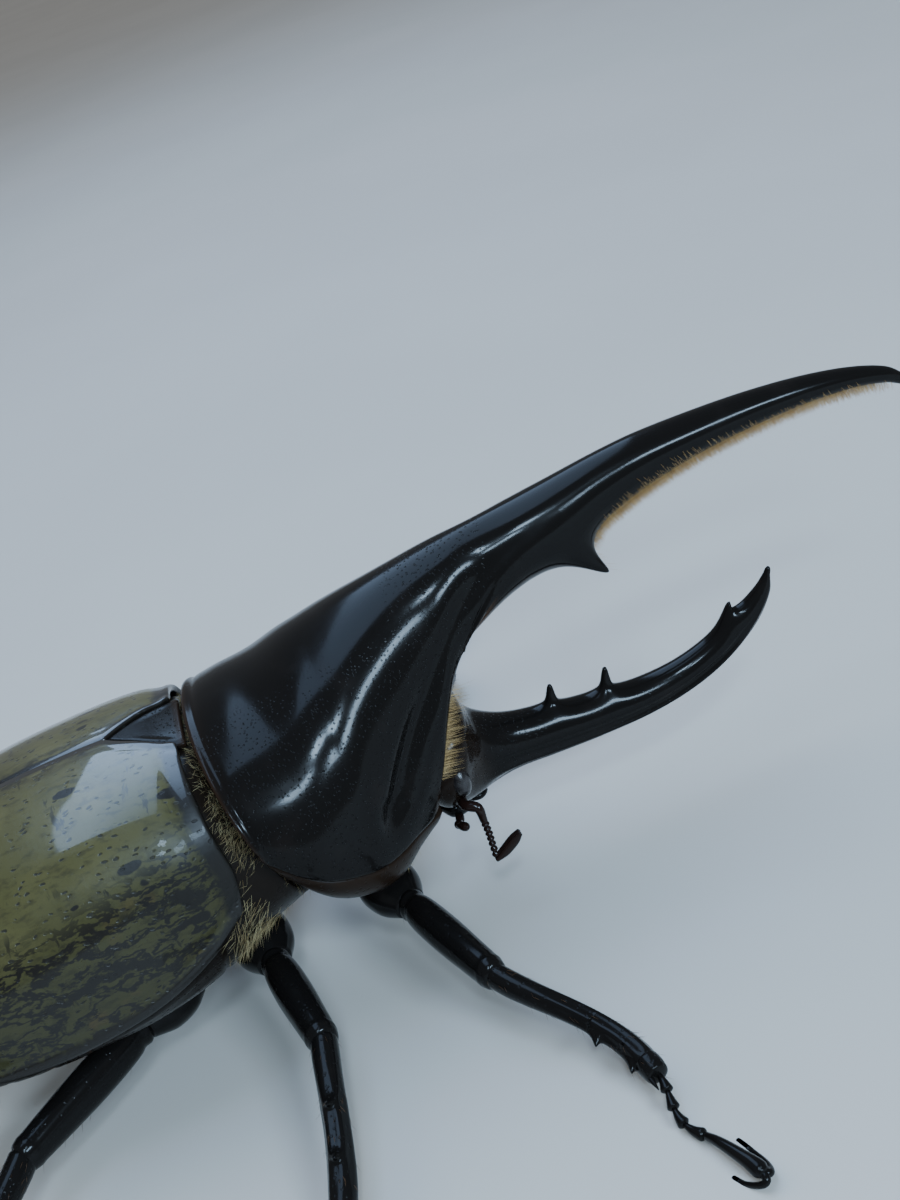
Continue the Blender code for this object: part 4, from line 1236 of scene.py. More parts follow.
@dataclass
class Head:
    """The head and its toothed horn, as one skin, with eyes, feelers and mouth."""

    columns: int = 110
    runs: tuple[Row, ...] = ((0.0, 5.5, 60), (5.5, 9.5, 130), (9.5, 14.0, 110))
    chin: float = -7.0
    chin_end: float = 30.0
    ridges: Row = (208.0, 332.0)
    ridge_form: tuple[Row, Row] = ((0.28, 0.0, 0.13), (0.16, 0.32, 0.16))
    ridge_rows: Row = (4.2, 6.0, 10.5, 13.0)
    horn_tip: Row = (66.7, 0.0, 4.2)
    # Each tooth: its root and its tip (forward, up), its width, and how steep it stands.
    teeth: tuple[Row, ...] = (
        (37.5, -1.4, 37.55, -0.95, 1.3, 2.6),
        (37.6, -0.9, 37.95, 1.1, 0.5, 4.5),
        (44.1, -2.5, 44.2, -1.95, 1.3, 2.6),
        (44.2, -1.9, 44.7, 0.3, 0.5, 4.5),
        (60.0, 0.1, 60.1, 0.5, 1.6, 2.6),
        (60.2, 0.5, 60.9, 1.75, 0.62, 4.0),
    )
    eye: Row = (24.0, 7.4, -1.2)
    eye_size: Row = (1.15, 1.5, 2.0)

    def skin(self) -> Patch:
        """Lofts the head and its horn, with side ridges, a flat chin and teeth."""
        steps = spans(*self.runs)
        forward, up, high, wide, lean, square = fields(curve(HEAD, steps))
        angle = turns(self.columns)[None]
        rise = high * power(np.sin(angle), square)
        turn = np.radians(lean)
        above = up + rise * np.cos(turn)
        above = np.where(forward < self.chin_end, np.maximum(above, self.chin), above)
        patch = Patch(ring_stack(forward + rise * np.sin(turn), wide * power(np.cos(angle), square), above))
        flank = np.min([np.abs(angle - math.radians(ridge)) for ridge in self.ridges], 0)
        level = steps[:, None]
        patch.lift(beading(flank, *self.ridge_form) * band(level, *self.ridge_rows))
        for root_at, root, tip_at, tip, width, steep in self.teeth:
            patch.pull((root_at, 0.0, root), (tip_at, 0.0, tip), width, steep)
        low = ramp(-3.0, -6.0, patch.rings[..., 2]) * ramp(12.0, 9.0, level)
        patch.fill(pits=ramp(7.5, 5.0, level) * 0.9 + 0.35 * low, brown=0.15 * ramp(5.4, 4.0, level))
        return place_tip(patch, self.horn_tip, 6)

    def eyes(self) -> None:
        """Builds the two eyes."""
        polar = np.linspace(0.04, math.pi - 0.04, 24)[:, None]
        turn = turns(40)[None]
        ball = ring_stack(np.sin(polar) * np.cos(turn), np.sin(polar) * np.sin(turn), np.cos(polar))
        for side in Side:
            centre = side.of(self.eye)
            eye = make_mesh("eye_ball_" + side.label, [Patch(centre + ball * np.array(self.eye_size))])
            finish_piece(eye, EYE_FINISH, Slot.EYE, "eye_" + side.label)

    def build(self) -> None:
        """Builds the head's pieces."""
        head = make_mesh("head_and_horn", [self.skin()])
        finish_piece(head, HEAD_FINISH, Slot.HEAD, "head", "cephalic_horn")
        self.eyes()
        Mouth().build()
        for side in Side:
            Feeler(side).build()


@dataclass
class Mouth:
    """The mouth block under the chin, with jaws and palps."""

    block: tuple[Row, ...] = ((20.9, 2.6, -8.3), (21.9, 3.7, -9.2), (23.6, 3.6, -9.3), (24.6, 2.6, -8.7))
    jaw: tuple[Row, ...] = ((24.6, 1.4, -8.0), (25.6, 1.6, -8.1), (26.2, 1.3, -8.2), (26.6, 0.8, -8.3))
    jaw_form: tuple[Row, ...] = ((0.5, 0.62), (0.5, 0.62), (0.36, 0.45), (0.22, 0.28))
    palp: tuple[Row, ...] = ((22.7, 2.6, -8.4), (22.3, 4.6, -8.5), (21.9, 6.4, -7.4), (22.8, 7.9, -7.1))
    palp_form: tuple[Row, ...] = ((0.0, 0.3), (0.15, 0.4), (0.55, 0.54), (0.85, 0.5), (0.98, 0.32))
    top: float = -6.9

    def build(self) -> None:
        """Builds the mouth's pieces."""
        angle = np.linspace(0, math.pi, 33)[None]
        drop = np.sin(angle) ** 0.7
        forward, half, low = fields(fine_rows(self.block, 26))
        rings = ring_stack(forward, half * power(np.cos(angle), 0.7), self.top - (self.top - low) * drop)
        block = Patch(rings).round_ends((0.3,), (0.3,))
        finish_piece(make_mesh("mouth_block", [block]), HEAD_FINISH, Slot.HEAD, "mouthparts")
        for side in Side:
            rows = np.hstack([side.of(self.jaw), self.jaw_form])
            jaw = make_mesh("jaw_" + side.label, [tube(fine_rows(rows, 20), 20).round_end(0.2)])
            finish_piece(jaw, HEAD_FINISH, Slot.HEAD, "mandible_" + side.label)
            self.build_palp(side)

    def build_palp(self, side: Side) -> None:
        """Builds one palp, a chain of three joints."""
        path = side.of(self.palp)
        joints = []
        for here, there in zip(path, path[1:]):
            rows = fine_rows(straight(here, there, self.palp_form), 12)
            joints.append(tube(rows, 16).round_ends((0.15, 3), (0.1, 3)))
        piece = make_mesh("palp_joints_" + side.label, joints)
        finish_piece(piece, FEELER_FINISH, Slot.FEELER, "palp_" + side.label)


@dataclass
class Feeler:
    """One feeler: a bent root, a string of beads and a fan of three leaves."""

    side: Side
    root: tuple[Row, ...] = ((23.5, 5.6, -4.3), (23.4, 8.2, -3.9), (24.6, 9.2, -4.3), (24.7, 9.6, -6.0))
    root_form: tuple[Row, ...] = ((0.5, 0.5), (0.62, 0.6), (0.6, 0.56), (0.44, 0.42))
    chain: tuple[Row, ...] = ((24.7, 9.62, -6.1), (24.7, 9.75, -7.6), (24.6, 9.85, -9.2), (24.5, 9.9, -11.0))
    beads: int = 7
    bead: float = 0.46
    bead_form: Row = (0.55, 0.85, 1.0, 1.05, 0.9, 0.6)
    leaf: tuple[Row, ...] = ((24.4, 9.95, -11.15), (25.6, 10.0, -10.6), (27.0, 10.05, -9.65),
                             (27.9, 10.1, -8.95))
    leaf_form: tuple[Row, ...] = ((0.24, 0.2), (0.5, 0.22), (0.55, 0.24), (0.26, 0.16))
    leaf_gap: float = 0.36

    def build(self) -> None:
        """Builds the feeler as one piece."""
        rows = np.hstack([self.side.of(self.root), self.root_form])
        parts = [tube(fine_rows(rows, 30), 20).round_end(0.2, 3)]
        rings = len(self.bead_form)
        path = fine_rows(self.side.of(self.chain), self.beads * rings + 1)
        for bead in range(self.beads):
            here = path[bead * rings:(bead + 1) * rings]
            swell = np.array(self.bead_form) * self.bead * (1.0 - 0.12 * bead / self.beads)
            joint = tube(np.column_stack([here, swell, swell]), 18)
            parts.append(joint.round_ends((0.1, 2), (0.1, 2)))
        for layer in (-self.leaf_gap, 0.0, self.leaf_gap):
            shift = np.array([0.0, layer * self.side.value, 0.06 * abs(layer)])
            rows = np.hstack([self.side.of(self.leaf) + shift, self.leaf_form])
            parts.append(tube(fine_rows(rows, 22), 20).round_ends((0.12, 4), (0.12, 4)))
        piece = make_mesh("feeler_" + self.side.label, parts)
        finish_piece(piece, FEELER_FINISH, Slot.FEELER, "antenna_" + self.side.label)


@dataclass
class WingCases:
    """The two wing cases and the scutellum between their roots."""

    seam: float = 0.05
    gap: float = 0.12
    wall: float = 0.85
    runs: tuple[Row, ...] = ((-2.4, -3.6, 10), (-3.6, -11.0, 44), (-11.0, -46.0, 90),
                             (-46.0, -52.0, 40), (-52.0, -52.9, 14))
    columns: int = 90
    lean: float = 1.7
    front_rim: tuple[Row, Row] = ((0.06, 0.55, 0.45), (0.1, 1.8, 0.9))
    seam_rim: tuple[Row, Row] = ((0.07, 0.45, 0.35), (0.07, 1.2, 0.5))
    edge_rim: tuple[Row, Row] = ((0.2, 0.5, 0.6), (0.16, 1.8, 0.8))
    scutellum: Row = (-2.4, -9.9, 5.0)     # its front and its tip, and its half width in front
    taper: float = 0.8
    shoulder: Row = (-5.6, 15.6, 9.0)

    def scutellum_half(self, forward: np.ndarray) -> np.ndarray:
        """The half width of the scutellum at each forward place."""
        front, tip, half = self.scutellum
        return half * np.clip((forward - tip) / (front - tip), 0, 1) ** self.taper

    def case(self, side: Side) -> bpy.types.Object:
        """Builds one wing case as a closed thin shell.

        Args:
            side: the side of the body.

        Returns:
            The wing case.
        """
        forward = spans(*self.runs)[:, None]
        half, top, edge, square = fields(reading(DOME, forward[:, 0]))[1:]
        beside = self.scutellum_half(forward) + self.gap
        inner = self.seam + np.where(forward > self.scutellum[1] - 0.3, beside, 0.0)
        start = np.arccos((inner / half) ** (1 / square))
        angle = start * (1 - np.linspace(0, 1, self.columns)[None]) ** 1.25
        out = half * np.cos(angle) ** square
        lift = np.sin(angle) ** square
        lean = self.lean * np.clip(1 + (forward + 2.4) / 8, 0, None) * (1 - lift) * ramp(-0.1, 0.4, lift)
        sheet = Patch(ring_stack(forward + lean, side.value * out, edge + (top - edge) * lift), closed=False)
        run = sheet.run()
        front = np.abs(forward - forward[0])
        rim = run[:, -1:] - run
        away = np.linalg.norm(sheet.rings - side.of(self.shoulder), axis=-1)
        sheet.fill(seam=run, front=front, edge=rim, matt=np.exp(-(away / 8.0) ** 4))
        high = beading(front, *self.front_rim) + beading(run, *self.seam_rim) + beading(rim, *self.edge_rim)
        high += 0.4 * hump(away, 0.0, 4.2)
        sheet.lift(high * ramp(0.0, 0.4, front))
        return make_mesh("wing_case_" + side.label, [self.thick(sheet)], weld=True)

    def thick(self, sheet: Patch) -> Patch:
        """Gives a sheet a wall with round edges.

        Args:
            sheet: the outer face, whose values the inner face takes too.

        Returns:
            A closed skin, whose first and last rings are folded flat.
        """
        normal = sheet.normals()
        wall = self.wall
        outer, inner = sheet.rings, sheet.rings - normal * wall
        middle = (outer + inner) / 2
        ends = []
        for column, beside in ((-1, -2), (0, 1)):
            out = outer[:, column] - outer[:, beside]
            out /= np.linalg.norm(out, axis=1, keepdims=True)
            lobe = [middle[:, column] + normal[:, column] * wall / 2 * math.cos(math.radians(turn))
                    + out * wall * 0.2 * math.sin(math.radians(turn)) for turn in (45, 90, 135)]
            ends.append(np.stack(lobe if column else lobe[::-1], 1))
        rings = np.concatenate([outer, ends[0], inner[:, ::-1], ends[1]], 1)
        flat = self.there_and_back(middle)
        rings = np.concatenate([flat[:1], (flat[:1] + rings[:1]) / 2, rings[1:-1],
                                (flat[-1:] + rings[-1:]) / 2, flat[-1:]])
        marks = {}
        for key, mark in sheet.marks.items():
            wide = self.there_and_back(mark)
            marks[key] = np.concatenate([wide[:1], wide, wide[-1:]])[:len(rings)]
        return Patch(rings, caps=False, marks=marks)

    @staticmethod
    def there_and_back(values: np.ndarray) -> np.ndarray:
        """Values for a folded sheet: its columns, the far edge, the columns back and the near edge."""
        return np.concatenate([values, np.repeat(values[:, -1:], 3, 1), values[:, ::-1],
                               np.repeat(values[:, :1], 3, 1)], 1)

    def plate(self) -> bpy.types.Object:
        """Builds the scutellum, a small triangular plate with a raised rim."""
        front, tip, _ = self.scutellum
        forward = np.linspace(front + 0.9, tip + 0.12, 44)[:, None]
        half = np.maximum(self.scutellum_half(forward), 0.12)
        wide, top, edge, square = fields(reading(DOME, np.minimum(forward[:, 0], front)))[1:]
        across = np.linspace(-1, 1, 41)[None]
        side = half * across
        lift = (1 - (np.abs(side) / wide) ** (2 / square)) ** (square / 2)
        sheet = Patch(ring_stack(forward, side, edge + (top - edge) * lift - 0.05), closed=False)
        depth = np.abs(forward - forward[0])
        border = half * (1 - np.abs(across))
        dent = 0.12 * hump(depth, 2.6, 1.6) * ramp(0.3, 1.6, border)
        sheet.lift(-0.2 - 0.2 * ramp(0.7, 0.0, border) - dent)
        sheet.fill(pits=hump(depth, 1.6, 1.6), brown=0.3 * ramp(1.2, 0.2, depth))
        return make_mesh("scutellum_plate", [self.thick(sheet)], weld=True)

    def build(self) -> None:
        """Builds the wing cases and the scutellum."""
        for side in Side:
            finish_piece(self.case(side), WING_CASE_FINISH, Slot.WING_CASE, "elytron_" + side.label)
        finish_piece(self.plate(), SCUTELLUM_FINISH, Slot.SCUTELLUM, "scutellum")


@dataclass
class Underside:
    """Breast, middle body, belly plates and the last plate."""

    columns: int = 96
    inset: float = 1.3
    waist: float = -22.5
    tail: float = -49.8
    plates: int = 6
    belly: Row = (-11.6, -7.2)
    collar: Row = (2.0, 12.6, 10.0, 13.8)  # its middle, how high and how deep, its half width
    collar_slope: float = 0.255
    plate_share: Row = (0.0, 0.03, 0.08, 0.2, 0.35, 0.5, 0.65, 0.8, 0.9, 0.95, 0.98)
    plate_swell: float = 0.42
    groove_depth: float = 0.3
    chest: tuple[Row, ...] = ((-2.3, -10.6), (-5.5, -11.6), (-10.0, -12.2), (-16.0, -12.4), (-22.6, -12.0))
    last_plate: tuple[Row, ...] = (
        (-48.6, 8.6, -2.8, -7.1),
        (-50.2, 8.2, -2.9, -7.4),
        (-51.6, 7.0, -3.1, -7.3),
        (-52.8, 5.2, -3.5, -6.9),
        (-53.5, 3.0, -4.2, -6.2),
    )

    def ring(self, forward: np.ndarray, low: np.ndarray) -> np.ndarray:
        """Rings of the hind body, which fill the wing cases above and bulge below.

        Args:
            forward: each ring's forward place.
            low: each ring's lowest place.

        Returns:
            The rings' places.
        """
        steep = np.clip((-34.0 - forward) / 16.0, 0, None)
        rows = reading(DOME, np.clip(forward - self.inset * steep, *DOME_ENDS))
        half, top, edge, square = fields(rows)[1:]
        half, top = half - self.inset, top - self.inset
        angle = turns(self.columns)[None]
        lift = np.sin(angle)
        upper = lift > -1e-6
        side = half * power(np.cos(angle), np.where(upper, square, 1.25))
        rise = np.abs(lift) ** np.where(upper, square, 0.95)
        up = np.where(upper, edge + (top - edge) * rise, edge - (edge - low[:, None]) * rise)
        return ring_stack(forward[:, None], side, up)

    def thorax(self) -> Patch:
        """The middle of the body, from the collar behind the shield to the waist."""
        base = SHIELD[0][0] - 0.35
        middle, above, below, half = self.collar
        angle = turns(self.columns)
        lift = power(np.sin(angle), 0.9)
        up = middle + np.where(lift > 0, above, below) * lift
        side = half * power(np.cos(angle), np.where(lift > -1e-6, 0.86, 1.25))
        front = ring_stack(base + (SHIELD[0][1] - up) * self.collar_slope, side, up)
        chest = np.array(self.chest)
        rings = np.concatenate([front[None], self.ring(chest[:, 0], chest[:, 1])])
        steps = spans((0.0, 1.0, 10), (1.0, 5.0, 60))
        fine = curve(rings.reshape(len(rings), -1), steps).reshape(len(steps), self.columns, 3)
        patch = Patch(fine)
        forward, left, up = (fine[..., k] for k in range(3))
        edge = reading(DOME, np.clip(forward.ravel(), *DOME_ENDS))[:, 3].reshape(up.shape)
        groove = hump(np.abs(left), 0.0, 0.5) * ramp(-6.0, -9.0, up)
        behind = ramp(-6.5, -8.5, forward)
        groove += 0.8 * hump(up - edge, -2.6, 0.3) * behind + 0.6 * hump(up - edge, -0.9, 0.25) * behind
        slant = forward + 5.4 - 0.32 * (up + 2.0)
        groove += 0.8 * hump(slant, 0.0, 0.3) * ramp(0.5, -1.0, up)
        patch.lift(-self.groove_depth * groove)
        level = steps[:, None]
        patch.fill(pits=0.8 * ramp(0.0, -5.0, up), brown=0.04 * ramp(1.4, 0.6, level),
                   fringe=ramp(0.8, 0.45, level) * band(up, 3.0, 9.0, 16.5, 18.0),
                   down=band(level, 0.4, 1.0, 1.4, 2.2) * ramp(2.5, 0.5, up))
        patch.lay((-0.7, 0.0, -0.35))
        return patch

    def abdomen(self) -> Patch:
        """The belly, in plates that overlap one behind another."""
        share = np.array(self.plate_share)
        place_on = (np.arange(self.plates)[:, None] + share[None]).ravel() / self.plates
        swell = np.tile(self.plate_swell * band(share, 0.0, 0.3, 0.94, 1.0), self.plates)
        forward = self.waist + (self.tail - self.waist) * place_on
        low = self.belly[0] + (self.belly[1] - self.belly[0]) * place_on ** 2
        patch = Patch(self.ring(forward, low - swell))
        up = patch.rings[..., 2]
        seam = np.tile(ramp(0.12, 0.0, share) + ramp(0.9, 1.0, share), self.plates)[:, None]
        pits = ramp(-4.0, -6.0, up) * hump(np.tile(share, self.plates), 0.4, 0.3)[:, None]
        patch.fill(pits=pits, brown=np.clip(seam, 0, 1))
        patch.lay((-0.9, 0.0, -0.2))
        return patch

    def pygidium(self) -> Patch:
        """The rounded plate that closes the body behind."""
        forward, half, top, low = fields(fine_rows(self.last_plate, 30))
        angle = turns(64)[None]
        side = half * power(np.cos(angle), 0.9) * (0.8 + 0.2 * np.sin(angle))
        up = (top + low) / 2 + (top - low) / 2 * power(np.sin(angle), 0.9)
        patch = Patch(ring_stack(forward, side, up)).round_end(0.25)
        patch.fill(pits=0.8)
        return patch

    def breast(self) -> Patch:
        """The underside of the front of the body, below the shield."""
        rows = fine_rows([(*shield, *low) for shield, low in zip(SHIELD, BREAST)], 60)
        _, _, edge_at, edge, half, _, _, low, lean = fields(rows)
        angle = np.linspace(0, math.pi, 61)[None]
        drop = np.sin(angle) ** 0.95
        upper = edge - 0.4
        left = (half - 0.6) * power(np.cos(angle), 1.5)
        up = upper - (upper - low) * drop
        patch = Patch(ring_stack(edge_at + lean * drop, left, up))
        patch.fill(pits=0.8, brown=0.2, down=band(np.abs(left), 3.0, 6.0, 8.5, 10.5) * ramp(-6.5, -8.0, up))
        patch.lay((-0.5, 0.0, -0.6))
        return patch

    def build(self) -> None:
        """Builds the underside and its bristles."""
        skins = (("middle_body", "thorax", self.thorax()), ("belly_plates", "abdomen", self.abdomen()),
                 ("last_plate", "pygidium", self.pygidium()), ("breast_plate", "prosternum", self.breast()))
        thorax, _, _, breast = [finish_piece(make_mesh(name, [skin]), UNDERSIDE_FINISH, Slot.UNDERSIDE, node)
                                for name, node, skin in skins]
        Bristles("collar_fringe", "fringe", PALE_BRISTLES, Slot.UNDERSIDE, per_mm2=30.0, length=1.3,
                 width=0.02, stand=0.35, wild=0.3, seed=7).grow(thorax)
        Bristles("side_down", "down", PALE_BRISTLES, Slot.UNDERSIDE, per_mm2=7.0, length=2.0,
                 width=0.02, stand=0.25, wild=0.35, seed=9).grow(thorax)
        Bristles("breast_down", "down", PALE_BRISTLES, Slot.UNDERSIDE, per_mm2=6.0, length=1.2,
                 width=0.02, stand=0.2, wild=0.35, seed=13).grow(breast)


class LegKind(enum.Enum):
    """The three pairs of legs."""

    FORE = "fore"
    MIDDLE = "middle"
    HIND = "hind"


@dataclass(frozen=True)
class LegSizes:
    """Where a left leg's joints are and how thick it is."""

    hip: Row
    knee: Row
    ankle: Row
    bend: Row
    toe: Row
    bow: Row
    drop: Row
    hip_size: float
    thigh: float
    shin: float
    teeth: Row


LEG_SIZES = {
    LegKind.FORE: LegSizes(
        hip=(12.0, 7.6, -10.4), knee=(19.1, 26.0, -12.5), ankle=(29.9, 42.7, -17.3), bend=(31.2, 49.8, -19.1),
        toe=(34.2, 56.5, -18.6), bow=(0.8, -1.35, -0.2), drop=(-0.9, -0.2, -0.35), hip_size=3.0, thigh=2.35,
        shin=1.4, teeth=(0.66, 0.88)),
    LegKind.MIDDLE: LegSizes(
        hip=(-3.6, 7.2, -10.4), knee=(0.2, 24.6, -12.5), ankle=(-3.0, 43.6, -17.2), bend=(-4.4, 51.0, -19.1),
        toe=(-7.4, 57.8, -18.6), bow=(0.6, 0.0, 0.6), drop=(0.2, -0.3, -0.7), hip_size=3.2, thigh=2.5,
        shin=1.55, teeth=(0.42, 0.72)),
    LegKind.HIND: LegSizes(
        hip=(-15.6, 8.0, -12.0), knee=(-33.0, 22.6, -12.4), ankle=(-44.0, 39.4, -17.2),
        bend=(-47.6, 46.4, -19.1), toe=(-50.6, 53.4, -18.6), bow=(-0.5, 0.3, 0.6), drop=(0.3, -0.3, -0.7),
        hip_size=3.2, thigh=2.4, shin=1.6, teeth=(0.42, 0.72)),
}


def unit(vector: np.ndarray) -> np.ndarray:
    """The vector at length 1."""
    return np.asarray(vector, float) / np.linalg.norm(vector)


def tailward(run: np.ndarray) -> np.ndarray:
    """The level direction square to a limb that points to the tail."""
    across = unit(np.cross(UPWARD, run))
    return across if across[0] < 0 else -across


def bowed(start: np.ndarray, end: np.ndarray, bow: float | np.ndarray, share: np.ndarray) -> np.ndarray:
    """Places along a limb that bows out most at two thirds of its length.

    The factor 6.75 makes the shares' product 1 there.

    Args:
        start: where the limb starts.
        end: where it ends.
        bow: how far it bows out, as a vector.
        share: shares of its length.

    Returns:
        One place for each share.
    """
    share = np.atleast_1d(share)[:, None]
    return start + (end - start) * share + bow * 6.75 * share ** 2 * (1 - share)


@dataclass
class Leg:
    """One leg: hip, thigh, shin with teeth and spurs, and a foot with claws."""

    kind: LegKind
    side: Side
    hip_form: tuple[Row, ...] = ((0.0, 0.8, 0.9), (0.3, 1.0, 1.12), (0.67, 0.95, 1.05), (1.0, 0.62, 0.66))
    thigh_form: tuple[Row, ...] = ((0.0, 0.82, 0.62), (0.18, 1.0, 0.78), (0.45, 1.04, 0.82),
                                   (0.75, 0.94, 0.76), (0.92, 0.86, 0.72), (1.0, 0.8, 0.66))
    shin_form: tuple[Row, ...] = ((0.0, 1.08, 0.92), (0.1, 1.06, 0.94), (0.25, 1.0, 0.9), (0.5, 0.92, 0.86),
                                  (0.68, 0.94, 0.88), (0.84, 1.0, 0.92), (0.94, 0.96, 0.88), (1.0, 0.84, 0.8))
    toe_form: tuple[Row, ...] = ((0.0, 0.75), (0.3, 1.05), (0.75, 1.45), (0.93, 1.7), (1.0, 1.3))
    spur_form: tuple[Row, ...] = ((0.0, 0.4), (0.35, 0.34), (0.7, 0.2), (1.0, 0.06))
    bead_form: tuple[Row, ...] = ((0.02, 0.5), (0.2, 0.66), (0.55, 0.95), (0.8, 1.2), (0.93, 1.28),
                                  (1.0, 1.05))
    thigh_ring: tuple[Row, Row] = ((0.16, 0.03, 0.02), (0.12, 0.08, 0.025))
    hip_reach: Row = (3.0, 4.1)            # how far it goes into the body and out of it
    thigh_gaps: Row = (4.3, 0.3)           # from the hip and from the knee
    shin_gaps: Row = (0.1, 0.2)            # from the knee and from the ankle
    tooth: Row = (1.15, 0.7, 0.42, 2.2)    # out, along the shin, half width, how steep
    toe_arch: float = 0.5
    claw_turn: float = 170.0
    claw_curl: float = 1.7
    claw_size: float = 0.5
    claws: tuple[Row, ...] = ((1, 4.8, 1.9), (-1, 2.4, 1.4))  # side, how far back, how far aside
    sole: float = 0.5
    beads: int = 4
    sides: int = 56

    def joints(self) -> dict[str, np.ndarray]:
        """The leg's joints on its own side."""
        sizes = LEG_SIZES[self.kind]
        names = ("hip", "knee", "ankle", "bend", "toe", "bow", "drop")
        return {name: self.side.of(getattr(sizes, name)) for name in names}

    def limb(self, start: np.ndarray, end: np.ndarray, size: float, form: tuple[Row, ...], sides: int,
             bow: float | np.ndarray = 0.0, extra: Row = ()) -> Patch:
        """A smooth limb with open ends.

        Args:
            start: where it starts.
            end: where it ends.
            size: its half width.
            form: shares of its length with its height and width there.
            sides: the number of columns.
            bow: how far it bows out, as a vector.
            extra: shares of its length where it needs closer rings.

        Returns:
            The limb's skin.
        """
        shares = np.linspace(0, 1, 60)
        for share in extra:
            shares = np.concatenate([shares, share + np.linspace(-0.05, 0.05, 25)])
        shares = np.unique(np.clip(shares, 0, 1))
        high, wide = reading(form, shares)[:, 1:].T
        return tube(np.column_stack([bowed(start, end, bow, shares), size * high, size * wide]), sides, 0.95)

    def coxa(self) -> Patch:
        """The hip, a thick cone sunk in the body."""
        joints, sizes = self.joints(), LEG_SIZES[self.kind]
        down = unit(joints["knee"] - joints["hip"])
        start, end = joints["hip"] - down * self.hip_reach[0], joints["hip"] + down * self.hip_reach[1]
        return self.limb(start, end, sizes.hip_size, self.hip_form, 48).round_end(0.6)

    def femur(self) -> Patch:
        """The thigh, with a collar at its root and a notched knee."""
        joints, sizes = self.joints(), LEG_SIZES[self.kind]
        down = unit(joints["knee"] - joints["hip"])
        start, end = joints["hip"] + down * self.thigh_gaps[0], joints["knee"] - down * self.thigh_gaps[1]
        thigh = self.limb(start, end, sizes.thigh, self.thigh_form, self.sides)
        share = np.linspace(0, 1, len(thigh.rings))[:, None]
        angle = turns(self.sides)[None]
        ring = beading(share, *self.thigh_ring) + 0.1 * hump(share, 0.97, 0.025)
        thigh.lift(ring + 0.07 * hump(angle, math.pi, 0.2) * hump(share, 0.55, 0.35))
        thigh.round_ends((1.0, 7), (0.5,))
        thigh.fill(pits=0.35, hairs=hump(angle, 1.5 * math.pi, 0.9))
        thigh.lay(down * 0.8 + np.array([0.0, 0.0, -0.4]))
        return thigh

    def outer_way(self, run: np.ndarray) -> np.ndarray:
        """The direction in which the shin's teeth stand."""
        if self.kind is LegKind.FORE:
            return tailward(run)
        return unit(np.cross(run, np.cross(UPWARD, run)))

    def tibia(self) -> list[Patch]:
        """The shin, with ridges along it, teeth on its outer edge and spurs at its end."""
        joints, sizes = self.joints(), LEG_SIZES[self.kind]
        run = unit(joints["ankle"] - joints["knee"])
        start, end = joints["knee"] + run * self.shin_gaps[0], joints["ankle"] - run * self.shin_gaps[1]
        shin = self.limb(start, end, sizes.shin, self.shin_form, self.sides, joints["bow"], sizes.teeth)
        share = np.linspace(0, 1, len(shin.rings))[:, None]
        angle = turns(self.sides)[None]
        ridge = 0.07 * np.cos(angle * 6) * band(share, 0.08, 0.3, 0.85, 1.0)
        shin.lift(ridge + 0.12 * hump(share, 0.985, 0.02))
        outer = self.outer_way(run)
        out, along, width, steep = self.tooth
        for tooth in sizes.teeth:
            root = bowed(start, end, joints["bow"], tooth)[0] + outer * sizes.shin * 0.75
            shin.pull(root, root + outer * out + run * along, width, steep)
        shin.round_ends((0.35,), (0.6,))
        shin.fill(pits=0.5, hairs=0.6)
        shin.lay(run * 0.9)
        behind = tailward(run)
        parts = [shin]
        for aside in (behind,) if self.kind is LegKind.FORE else (behind, -behind):
            root = end - run * 1.0 + aside * sizes.shin * 0.35
            tip = end + run * 1.1 + aside * (sizes.shin * 0.7 + 0.4)
            parts.append(tube(fine_rows(straight(root, tip, self.spur_form), 14), 14))
        return parts

    def tarsus(self) -> list[Patch]:
        """The foot: four beads, a long last joint and two claws that stand on small flats."""
        joints = self.joints()
        ankle, bend, toe, drop = (joints[name] for name in ("ankle", "bend", "toe", "drop"))
        parts = []
        share, wide = np.array(self.bead_form).T
        wide = wide * self.sole
        for bead in range(self.beads):
            trail = bowed(ankle, bend, drop, (bead + share) / self.beads)
            joint = tube(fine_rows(np.column_stack([trail, wide, wide]), 18), 22)
            parts.append(joint.round_ends((0.12, 3), (0.15, 3)))
        share, wide = np.array(self.toe_form).T
        wide = wide * self.sole
        trail = bend + (toe - bend) * share[:, None]
        trail[:, 2] += self.toe_arch * np.sin(math.pi * share)
        last = tube(fine_rows(np.column_stack([trail, wide, wide]), 34), 24)
        parts.append(last.round_ends((0.3,), (0.2, 3)))
        run = unit(toe - bend)
        ahead = -tailward(run)
        parts += [self.claw(toe, run, ahead * way, reach, swing) for way, reach, swing in self.claws]
        for part in parts:
            part.rings[..., 2] = np.maximum(part.rings[..., 2], -STANCE)
        return parts

    def claw(self, toe: np.ndarray, run: np.ndarray, aside: np.ndarray, reach: float, swing: float) -> Patch:
        """One claw: a hook that swings aside and back and comes down to the floor.

        Args:
            toe: the end of the last joint.
            run: the foot's direction.
            aside: the side that the claw is on.
            reach: how far it comes back.
            swing: how far it swings aside.

        Returns:
            The claw's skin.
        """
        share = np.linspace(0, 1, 34)
        turn = share * math.radians(self.claw_turn)
        path = toe - run * 0.6 + run * (self.claw_curl * np.sin(turn) - reach * share ** 2)[:, None]
        path = path + aside * (swing * (1 - np.cos(turn)) / 2)[:, None]
        path[:, 2] -= (STANCE + toe[2] + 0.25) * share ** 1.5
        thick = self.claw_size * (1 - 0.55 * share)
        return tube(np.column_stack([path, thick, thick]), 18).round_end(0.2, 3)

